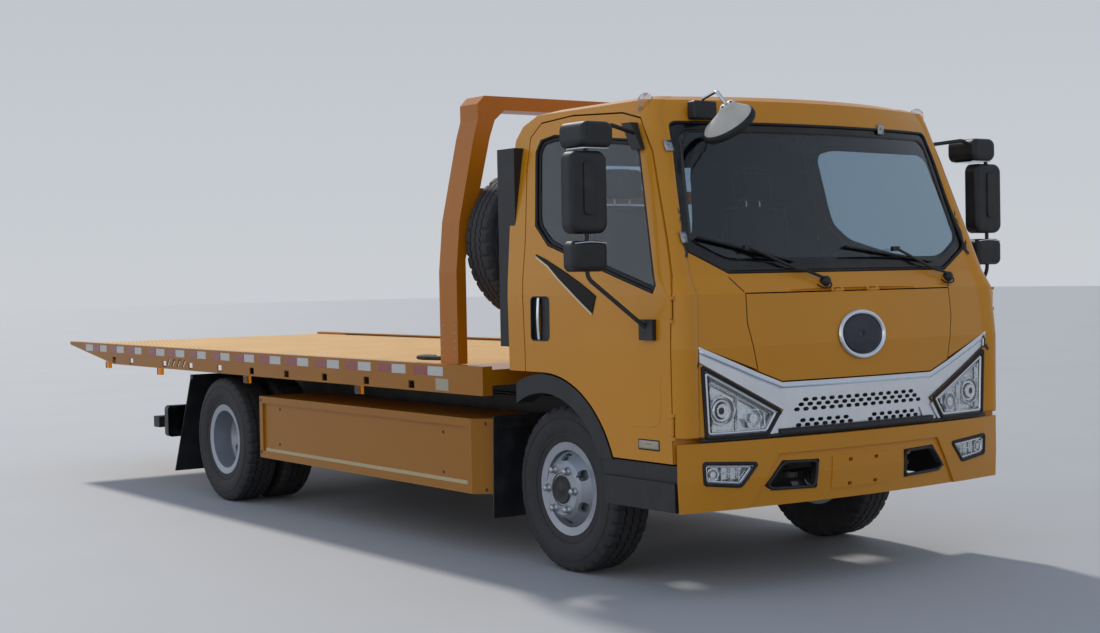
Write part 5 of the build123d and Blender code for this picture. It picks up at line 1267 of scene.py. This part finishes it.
# %% Door handles
HANDLE = (ahead(-0.106), ahead(0.050), 1.171, 1.387, 0.026)
HANDLE_BAR_X = ahead(-0.051)
TRAY_LAP = 0.004
TRAY_GAP = 0.0015
TRAY_DEPTH = 0.0195
TRAY_PROUD = 0.0012
GRIP_PARTS = 10
GRIP_Y = 1.077
GRIP_BOW = 0.006
GRIP_INSET = 0.006
low_x, high_x, low_z, high_z, radius = HANDLE
for side, skin, door_body in DOORS:
    flange = corners_of(low_x - TRAY_LAP, high_x + TRAY_LAP, low_z - TRAY_LAP, high_z + TRAY_LAP,
                        radius + TRAY_LAP)
    mouth = corners_of(low_x + TRAY_GAP, high_x - TRAY_GAP, low_z + TRAY_GAP, high_z - TRAY_GAP, radius)
    rim = [from_side(skin, side, u, v, 0.0).y + side * TRAY_PROUD for u, v in flange]
    points = [(u, y, v) for (u, v), y in zip(flange, rim)]
    points += [(u, y, v) for (u, v), y in zip(mouth, rim)]
    points += [(u, y - side * TRAY_DEPTH, v) for (u, v), y in zip(mouth, rim)]
    count = len(flange)
    faces = row_faces(3, count, closed=True)
    faces.append(tuple(2 * count + i for i in range(count)))
    new_mesh(f"{door_body}_handle_tray", points, faces, black_plastic, door_body)
    grip = []
    for k in range(GRIP_PARTS + 1):
        share = k / GRIP_PARTS
        height = low_z + GRIP_INSET + (high_z - low_z - 2 * GRIP_INSET) * share
        grip.append((HANDLE_BAR_X, side * (GRIP_Y + GRIP_BOW * math.sin(math.pi * share)), height))
    bar(f"{door_body}_grip", grip, 0.0095, bright_plating, door_body, bend=True)
print("the grip is", round(HANDLE[3] - HANDLE[2], 3), "m long")

# %% [markdown]
# Red and white prismatic tape is stuck along the bed's rails, which the law asks for on long vehicles. It
# is cut in pieces of about 150 mm, red against white. The places are read off the picture, and each piece
# is a plate 1 mm thick, because real tape of 0.4 mm would flicker against the rail.

# %% Reflective tape
TAPE_LOW = 0.963
TAPE_HIGH = 1.013
RAIL_FACE = 1.1502
TAPE_THICKNESS = 0.001
TAPE_GAP = 0.001
# Each piece's rear and front end ahead of the front axle
RED_TAPE = (
    (-3.091, -2.942), (-2.712, -2.561), (-2.326, -2.172), (-1.944, -1.791), (-1.556, -1.400),
    (-1.161, -1.012), (-6.062, -5.917), (-5.703, -5.570), (-5.347, -5.207), (-4.945, -4.801),
    (-4.591, -4.440), (-4.205, -4.075), (-3.834, -3.693), (-3.462, -3.322),
)
WHITE_TAPE = (
    (-2.942, -2.788), (-2.561, -2.410), (-2.172, -2.018), (-1.791, -1.638), (-1.400, -1.245),
    (-1.012, -0.852), (-6.217, -6.062), (-5.907, -5.767), (-5.563, -5.414), (-5.201, -5.068),
    (-4.793, -4.638), (-4.440, -4.284), (-4.067, -3.922), (-3.686, -3.541), (-3.317, -3.168),
)
for finish, colour, pieces in ((tape_red, "red", RED_TAPE), (tape_white, "white", WHITE_TAPE)):
    for side in (-1, 1):
        low, high = sorted((side * RAIL_FACE, side * (RAIL_FACE + TAPE_THICKNESS)))
        for index, (rear, front) in enumerate(pieces):
            brick(f"tape_{colour}_{side}_{index}", (ahead(rear) + TAPE_GAP, low, TAPE_LOW),
                  (ahead(front) - TAPE_GAP, high, TAPE_HIGH), finish, "bed")
label_white = plain_finish("blank_vinyl_label", "#B9AE98", Roughness=0.5)
brick("rail_label", (ahead(-0.930), -RAIL_FACE - TAPE_THICKNESS, 0.886), (ahead(-0.800), -RAIL_FACE, 0.950),
      label_white, "bed")
print("tape on each rail:", len(RED_TAPE), "red and", len(WHITE_TAPE), "white")

# %% [markdown]
# Inside, the cab is lined with grey moulded trim on the walls and the roof and a card on each
# door. No paint shows there. Trim follows the panel behind it, so it is made from the panel's
# own inner faces, each moved 3 mm into the cabin. A face belongs to it if a ray from it reaches
# one of a few places where a head or hand would be.

# %% Cabin lining
TRIM_LIFT = 0.003
SIGHT_START = 0.004
SIGHT_MARGIN = 0.02
SMALLEST_FACE = 2e-6
CABIN_HALF = 1.075
SAME_WAY = 0.99
CABIN_PLACES = [Vector((ahead(x), y, z)) for x in (0.15, 0.55) for y in (-0.55, 0.0, 0.55)
                for z in (1.45, 1.95)]
cabin_walls = search_tree("cab_shell", "door_right", "door_left")


def seen_from_inside(middle, normal):
    """Is true if one of the cabin's places sees this face."""
    for place in CABIN_PLACES:
        way = place - middle
        if way.dot(normal) <= SIGHT_MARGIN:
            continue
        start = middle + normal * SIGHT_START
        if cabin_walls.ray_cast(start, way.normalized(), way.length - SIGHT_MARGIN)[0] is None:
            return True
    return False


def lining(name, node, finish, body):
    """The faces of a solid that the cabin sees, moved inwards as one skin that stays closed at corners."""
    mesh = solids[node].data
    chosen = [p for p in mesh.polygons if p.area > SMALLEST_FACE and abs(p.center.y) < CABIN_HALF
              and seen_from_inside(p.center, p.normal)]
    ways = {}
    for polygon in chosen:
        for v in polygon.vertices:
            key = tuple(round(c, 4) for c in mesh.vertices[v].co)
            known = ways.setdefault(key, [])
            if all(polygon.normal.dot(way) < SAME_WAY for way in known):
                known.append(polygon.normal.copy())
    points = []
    faces = []
    place_of = {}
    for polygon in chosen:
        corners = []
        for v in polygon.vertices:
            key = tuple(round(c, 4) for c in mesh.vertices[v].co)
            if key not in place_of:
                place_of[key] = len(points)
                out = sum(ways[key], Vector()).normalized()
                reach = TRIM_LIFT / max(0.5, out.dot(ways[key][0]))
                points.append(mesh.vertices[v].co + out * reach)
            if place_of[key] not in corners:
                corners.append(place_of[key])
        if len(corners) > 2:
            faces.append(tuple(corners))
    return new_mesh(name, points, faces, finish, body)


trim_grey = moulded_plastic("grained_cabin_trim", "#2B2E38", 0.6, 4, 0.1)
linings = [lining("cabin_trim", "cab_shell", trim_grey, "cab"),
           lining("door_card_right", "door_right", trim_grey, "door_right"),
           lining("door_card_left", "door_left", trim_grey, "door_left")]
wall_x = cabin_walls.ray_cast(Vector((ahead(0.2), 0.66, 1.72)), Vector((-1, 0, 0)))[0].x
brick("rear_wall_trim", (wall_x + 0.004, 0.136, 1.670), (wall_x + 0.012, 0.640, 2.110), trim_grey, "cab",
      0.003)
print("lining faces:", [len(piece.data.polygons) for piece in linings], "and the rear wall is at",
      round(wall_x - FRONT_AXLE, 3))

# %% [markdown]
# The seats are foam in woven cloth: a crowned base on a plastic box, a leaning back with sewn
# channels and a pleated headrest on two bright posts. Foam under tight cloth bulges in the
# middle of each face and is held in at the edges and the seams, so one function makes a soft
# block: it rounds a box, adds the crown and presses the seams in.

# %% Seats
PAD_STEPS = 22


def soft_block(name, half, corner, crown, seams, place, finish, lean=0.0):
    """A crowned cushion of these half sizes; a seam is its axis, place, half width and depth."""
    points = []
    index = {}
    faces = []

    def point(u, v, w):
        """The number of the point at this place on the block, made once and shared by the faces around it."""
        key = (round(u, 5), round(v, 5), round(w, 5))
        if key not in index:
            raw = Vector((u * half[0], v * half[1], w * half[2]))
            core = Vector(tuple(max(-(h - corner), min(h - corner, c)) for c, h in zip(raw, half)))
            away = raw - core
            soft = core + away.normalized() * corner if away.length > 1e-9 else raw
            bulge = [(1 - v * v) * (1 - w * w), (1 - u * u) * (1 - w * w), (1 - u * u) * (1 - v * v)]
            for axis, share in enumerate((u, v, w)):
                if abs(share) > 0.999:
                    soft[axis] += math.copysign(crown, share) * (bulge[axis] - 0.6)
            for axis, at, width, depth in seams:
                gap = abs((u, v, w)[axis] - at)
                if gap < width:
                    soft *= 1 - depth * (1 + math.cos(math.pi * gap / width)) / 2
            soft.x += lean * soft.z
            index[key] = len(points)
            points.append(Vector(place) + soft)
        return index[key]

    ticks = [-1 + 2 * k / PAD_STEPS for k in range(PAD_STEPS + 1)]
    for axis in range(3):
        for end in (-1.0, 1.0):
            for a, b in zip(ticks, ticks[1:]):
                for c, d in zip(ticks, ticks[1:]):
                    corners = []
                    for s, t in ((a, c), (b, c), (b, d), (a, d)):
                        uvw = [s, t]
                        uvw.insert(axis, end)
                        corners.append(point(*uvw))
                    faces.append(tuple(corners))
    pad = new_mesh(name, points, faces, finish, "cab", smooth=True)
    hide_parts("seats")
    return pad


FLOOR_Z = 1.057
# Each seat's middle and width: the driver's and the wide one beside it
SEAT_PLACES = ((0.480, 0.500), (-0.440, 0.620))
BASE_SEAMS = ((1, -0.62, 0.07, 0.03), (1, 0.62, 0.07, 0.03), (0, -0.25, 0.06, 0.025))
BACK_SEAMS = ((1, -0.60, 0.06, 0.05), (1, 0.60, 0.06, 0.05), (2, 0.35, 0.03, 0.02))
PLEATS = tuple((1, at, 0.11, 0.05) for at in (-0.5, -0.17, 0.17, 0.5))
HEADREST_POSTS = (-0.05, 0.05)
for index, (y, width) in enumerate(SEAT_PLACES):
    half_width = width / 2 - 0.012
    plinth = brick(f"seat_plinth_{index}", (ahead(-0.130), y - half_width + 0.03, FLOOR_Z + 0.004),
                   (ahead(0.300), y + half_width - 0.03, 1.196), dash_plastic, "cab", 0.012)
    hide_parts("seats")
    soft_block(f"seat_base_{index}", (0.205, half_width, 0.072), 0.045, 0.012, BASE_SEAMS,
               (ahead(0.115), y, 1.276), seat_cloth)
    soft_block(f"seat_back_{index}", (0.046, half_width, 0.270), 0.034, 0.010, BACK_SEAMS,
               (ahead(-0.135), y, 1.580), seat_cloth, lean=-0.13)
    soft_block(f"headrest_{index}", (0.036, 0.124, 0.078), 0.028, 0.006, PLEATS,
               (ahead(-0.175), y, 1.966), seat_cloth)
    for post in HEADREST_POSTS:
        post_line = [(ahead(-0.170), y + post, 1.845), (ahead(-0.175), y + post, 1.90)]
        rod = bar(f"headrest_post_{index}_{post}", post_line, 0.006, bright_plating, "cab")
        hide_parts("seats")
print("each soft block has", 6 * PAD_STEPS ** 2, "faces")

# %% [markdown]
# A driver needs a few more things behind the glass: the mirror over the screen on its stem and two sun visors
# folded up to the roof. They are small and dark, and still they tell a cab from a box.

# %% Cabin fittings
MIRROR_SPAN = (0.050, 0.310)
MIRROR_STEM = ((0.520, 2.155), (0.545, 2.200), (0.555, 2.235))
SUN_VISORS = ((-1, -0.70, -0.16), (1, 0.34, 0.70))
brick("cabin_mirror", (ahead(0.508), MIRROR_SPAN[0], 2.102), (ahead(0.530), MIRROR_SPAN[1], 2.158),
      dash_plastic, "cab", 0.010)
brick("cabin_mirror_glass", (ahead(0.505), MIRROR_SPAN[0] + 0.008, 2.109),
      (ahead(0.507), MIRROR_SPAN[1] - 0.008, 2.151), mirror_glass, "cab")
bar("cabin_mirror_stem", [(ahead(x), 0.150, z) for x, z in MIRROR_STEM], 0.006, black_plastic, "cab",
    bend=True)
for side, low, high in SUN_VISORS:
    brick(f"sun_visor_{side}", (ahead(0.400), low, 2.212), (ahead(0.560), high, 2.226), trim_grey, "cab",
          0.006)
print("cabin mirror is", round(MIRROR_SPAN[1] - MIRROR_SPAN[0], 2), "m wide")

# %% [markdown]
# The lockers' long panels are pressed steel screwed to a frame. Dust gathers on the lower lip, which faces
# the sky, so it is drawn as a pale strip: partly dust and partly a painted highlight. The screws are plain
# round heads, darker than the paint round them.

# %% Locker panels
PANEL_SCREWS = ((-2.982, 0.664), (-2.993, 0.438), (-0.999, 0.648), (-1.002, 0.429))
FRAME_SCREWS = ((-3.232, 0.374), (-3.232, 0.712), (-0.640, 0.712), (-0.640, 0.360))
SCREW_HEAD = ((0.0085, -0.001), (0.0085, 0.0025), (0.005, 0.004), (0.0, 0.0045))
locker_tree = search_tree("side_boxes")
dust_and_highlight_lip = plain_finish("dust_and_painted_highlight_lip", "#CDB88F", Roughness=0.8)
for side in (-1, 1):
    for index, (x, z) in enumerate(PANEL_SCREWS + FRAME_SCREWS):
        seat = from_side(locker_tree, side, ahead(x), z, 0.0)
        turned(f"locker_screw_{side}_{index}", SCREW_HEAD, seat, (0, side, 0), chassis_black, "chassis",
               steps=12)
    panel_y = from_side(locker_tree, side, ahead(-2.0), 0.500, 0.0).y
    frame_y = from_side(locker_tree, side, ahead(-2.0), 0.360, 0.0).y
    low, high = sorted((panel_y + side * 0.001, frame_y - side * 0.0005))
    # The pale strip is partly dust and partly a painted highlight on the lip
    brick(f"locker_lip_highlight_{side}", (ahead(-3.165), low, 0.384), (ahead(-0.715), high, 0.405), dust_and_highlight_lip,
          "chassis")
print("locker panel lies", round(abs(frame_y - panel_y) * 1000, 1), "mm behind its frame")

# %% [markdown]
# Press lines stiffen the door's lower skin, and two plain swept bands in dark vinyl run down from the
# window. Vinyl is only 0.1 mm thick, so each band is a thin skin laid on the panel.

# %% Door press lines and bands
SWEEP_TOP = [(-0.088, 1.603), (0.010, 1.574), (0.096, 1.542), (0.200, 1.503), (0.301, 1.461), (0.380, 1.424),
             (0.442, 1.392)]
SWEEP_LOW = [(-0.083, 1.592), (0.028, 1.542), (0.139, 1.471), (0.220, 1.423), (0.298, 1.375), (0.360, 1.337),
             (0.411, 1.306)]
PRESS_LINE = [(0.911, 1.028), (0.911, 0.940), (0.907, 0.850), (0.890, 0.808), (0.850, 0.796), (0.780, 0.792),
              (0.706, 0.788)]
VINYL_LIFT = 0.0022
VINYL_THICKNESS = 0.0006
STRIP_ROWS_ACROSS = 6
vinyl_black = plain_finish("matt_black_vinyl", "#17110E", Roughness=0.6, Specular_IOR_Level=0.25)
vinyl_cream = plain_finish("cream_vinyl", "#E6D2A8", Roughness=0.45)


def strip_on(name, skin, side, tops, lows, lift, finish, body):
    """A thin strip on a side panel between two rows of points."""
    points = []
    for row in range(STRIP_ROWS_ACROSS + 1):
        share = row / STRIP_ROWS_ACROSS
        for (a, b), (c, d) in zip(tops, lows):
            points.append(from_side(skin, side, ahead(a + (c - a) * share), b + (d - b) * share, lift))
    faces = row_faces(STRIP_ROWS_ACROSS + 1, len(tops))
    strip = new_mesh(name, points, faces, finish, body, smooth=True)
    return thicken(strip, VINYL_THICKNESS, outwards=True)


def finer(row, parts):
    """The same row of points with more between them."""
    made = []
    for a, b in zip(row, row[1:]):
        made += [(a[0] + (b[0] - a[0]) * k / parts, a[1] + (b[1] - a[1]) * k / parts) for k in range(parts)]
    return made + [row[-1]]


for side, skin, door_body in DOORS:
    top = finer(SWEEP_TOP, 5)
    low = finer(SWEEP_LOW, 5)
    strip_on(f"{door_body}_sweep", skin, side, top, low, VINYL_LIFT, vinyl_black, door_body)
    edge_low = [(x - 0.005, z - 0.009) for x, z in low]
    strip_on(f"{door_body}_sweep_edge", skin, side, low, edge_low, VINYL_LIFT, vinyl_cream, door_body)
    press = [from_side(skin, side, ahead(x), z, -0.0012) for x, z in PRESS_LINE]
    bar(f"{door_body}_press_line", press, 0.0034, cab_enamel, door_body, bend=True)
    corner = corners_of(ahead(0.742), ahead(0.898), 0.683, 0.733, 0.006)
    face = corners_of(ahead(0.748), ahead(0.892), 0.689, 0.727, 0.004)
    patch_on(f"{door_body}_label_frame", skin, corner, 0.0006, black_plastic, door_body,
             side=side, rings=2)
    patch_on(f"{door_body}_label", skin, face, 0.0016, label_white, door_body, side=side,
             rings=2)
print("each sweep is", round(SWEEP_TOP[-1][0] - SWEEP_TOP[0][0], 2), "m long")

# %% [markdown]
# The tail lamps are black housings with three lenses each, moulded in coloured acrylic over a bright
# reflector: amber to the outside, then red, then the clear reversing lamp. The lenses are ribbed inside,
# which shows as a faint pattern, so each gets fine upright flutes that stand 6 to 9 mm proud of the housing.

# %% Tail lamps
TAIL_FACE = min(v.co.x for v in solids["tail_lamps"].data.vertices)
LENS_ROWS = ((amber_lens, "amber", 1.028, 1.140), (red_lens, "red", 0.876, 1.018),
             (lamp_cover, "clear", 0.722, 0.866))
LENS_LOW = 0.412
LENS_HIGH = 0.583
LENS_PROUD = 0.0065
FLUTE_PROUD = 0.009
FLUTES = 10
for side in (-1, 1):
    for finish, colour, inner, outer in LENS_ROWS:
        points = []
        for k in range(2 * FLUTES + 1):
            y = side * (inner + (outer - inner) * k / (2 * FLUTES))
            x = TAIL_FACE - (FLUTE_PROUD if k % 2 else LENS_PROUD)
            points += [(x, y, LENS_LOW), (x, y, LENS_HIGH)]
        faces = ladder_faces(2 * FLUTES)
        lens = new_mesh(f"tail_lens_{colour}_{side}", points, faces, finish, "chassis")
        thicken(lens, 0.003)
        low, high = sorted((side * inner, side * outer))
        brick(f"tail_reflector_{colour}_{side}", (TAIL_FACE - 0.002, low, LENS_LOW),
              (TAIL_FACE - 0.0005, high, LENS_HIGH), reflector, "chassis")
print("tail lamps end", round(TAIL_FACE, 3), "m from the middle of the truck")

# %% [markdown]
# A forged hook lies on the deck behind the headboard. It is a round bar bent to a curve, so a
# bar along a few points with smooth bends gives it. The headboard's feet are held by two rows
# of small screws on each outer side.

# %% Deck hook and post screws
HOOK = ((-1.020, -0.960, 1.046), (-1.180, -0.985, 1.044), (-1.300, -1.010, 1.044), (-1.370, -0.985, 1.044),
        (-1.365, -0.930, 1.044), (-1.310, -0.915, 1.044))
bar("deck_hook", [(ahead(x), y, z) for x, y, z in HOOK], 0.013, cast_iron, "bed", bend=True)
post_tree = search_tree("headboard")
POST_SCREWS_X = (-0.925, -0.805)
POST_SCREWS_Z = tuple(1.068 + 0.041 * row for row in range(5))
POST_SCREW = ((0.005, -0.001), (0.005, 0.0015), (0.0, 0.003))
for side in (-1, 1):
    for column, x in enumerate(POST_SCREWS_X):
        for row, z in enumerate(POST_SCREWS_Z):
            seat = from_side(post_tree, side, ahead(x), z, 0.0)
            turned(f"post_screw_{side}_{column}_{row}", POST_SCREW, seat, (0, side, 0), zinc_steel, "bed",
                   steps=8)
print("post screws:", 2 * len(POST_SCREWS_X) * len(POST_SCREWS_Z))

# %% [markdown]
# The truck stands on a plain pale floor under plain soft light. An even dome of light gives most of it, a
# little brighter low down, as a hazy sky is, and on the side of the door. One broad key light from high
# behind the far side gives the roof, the deck and the shoulders their bright edges, and throws a soft
# shadow towards the camera. The floor looks pale to the camera and in mirrors, but throws back less light
# than it seems to, because a white floor would wash out the colour of every low panel.

# %% Floor, dome and key light
KEY_TRAVEL = Vector((1.07, -0.30, -1.0))
FLOOR_PALE = "#B9BABB"
FLOOR_BOUNCE = "#77766F"
FLOOR_REACH = 90


def seen_directly(tree):
    """Is 1 for what the camera, a mirror or a pane looks at, and 0 for light thrown on by a dull surface."""
    path = add(tree, "LightPath").outputs
    first = add(tree, "Math", (path["Is Camera Ray"], path["Is Glossy Ray"]), operation="MAXIMUM")
    return add(tree, "Math", (first, path["Is Transmission Ray"]), operation="MAXIMUM")


def studio_floor():
    """Smooth painted concrete with a faint cloudiness about a metre across."""
    material, tree, shader = start_material("pale_studio_floor", Roughness=0.7)
    place = add(tree, "TexCoord").outputs["Object"]
    clouds = add(tree, "TexNoise", {"Vector": place, "Scale": per_metre(1400), "Detail": 3.0})
    pale = add(tree, "Mix", {0: clouds, 6: srgb("#B1B2B3"), 7: srgb(FLOOR_PALE)}, data_type="RGBA")
    seen = seen_directly(tree)
    shade = add(tree, "Mix", {0: seen, 6: srgb(FLOOR_BOUNCE), 7: pale.outputs[2]}, data_type="RGBA")
    feed(tree, shader, {"Base Color": shade.outputs[2]})
    return material


floor_mesh = bpy.data.meshes.new("floor")
floor_corners = [(-FLOOR_REACH, -FLOOR_REACH), (FLOOR_REACH, -FLOOR_REACH), (FLOOR_REACH, FLOOR_REACH),
                 (-FLOOR_REACH, FLOOR_REACH)]
floor_mesh.from_pydata([(x, y, -0.001) for x, y in floor_corners], [], [(0, 1, 2, 3)])
floor_mesh.materials.append(studio_floor())
floor = bpy.data.objects.new("floor", floor_mesh)
bpy.context.scene.collection.objects.link(floor)

world = bpy.data.worlds.new("soft_dome")
world.use_nodes = True
bpy.context.scene.world = world
dome = world.node_tree
dome.nodes.clear()
way = add(dome, "TexCoord").outputs["Generated"]
parts = add(dome, "SeparateXYZ", {"Vector": way}).outputs
upwards = add(dome, "MapRange", (parts["Z"], 0.0, 0.75, 0.0, 1.0))
shade = add(dome, "Mix", {0: upwards, 6: srgb("#D2D6DB"), 7: srgb("#9AA7BC")}, data_type="RGBA")
door_side = add(dome, "MapRange", (parts["Y"], -1.0, 0.3, 1.55, 0.92))
background = add(dome, "Background", {"Color": shade.outputs[2], "Strength": door_side})
add(dome, "OutputWorld", {"Surface": background})

key_data = bpy.data.lights.new("key", "SUN")
key_data.energy = 1.9
key_data.angle = math.radians(5)
key_data.color = (1.0, 0.95, 0.87)
key = bpy.data.objects.new("key", key_data)
key.rotation_mode = "QUATERNION"
key.rotation_quaternion = KEY_TRAVEL.to_track_quat("-Z", "Y")
bpy.context.scene.collection.objects.link(key)
bpy.context.scene.view_settings.view_transform = "Standard"
print("the key light stands", round(math.degrees(math.asin(1 / KEY_TRAVEL.length))), "degrees high")
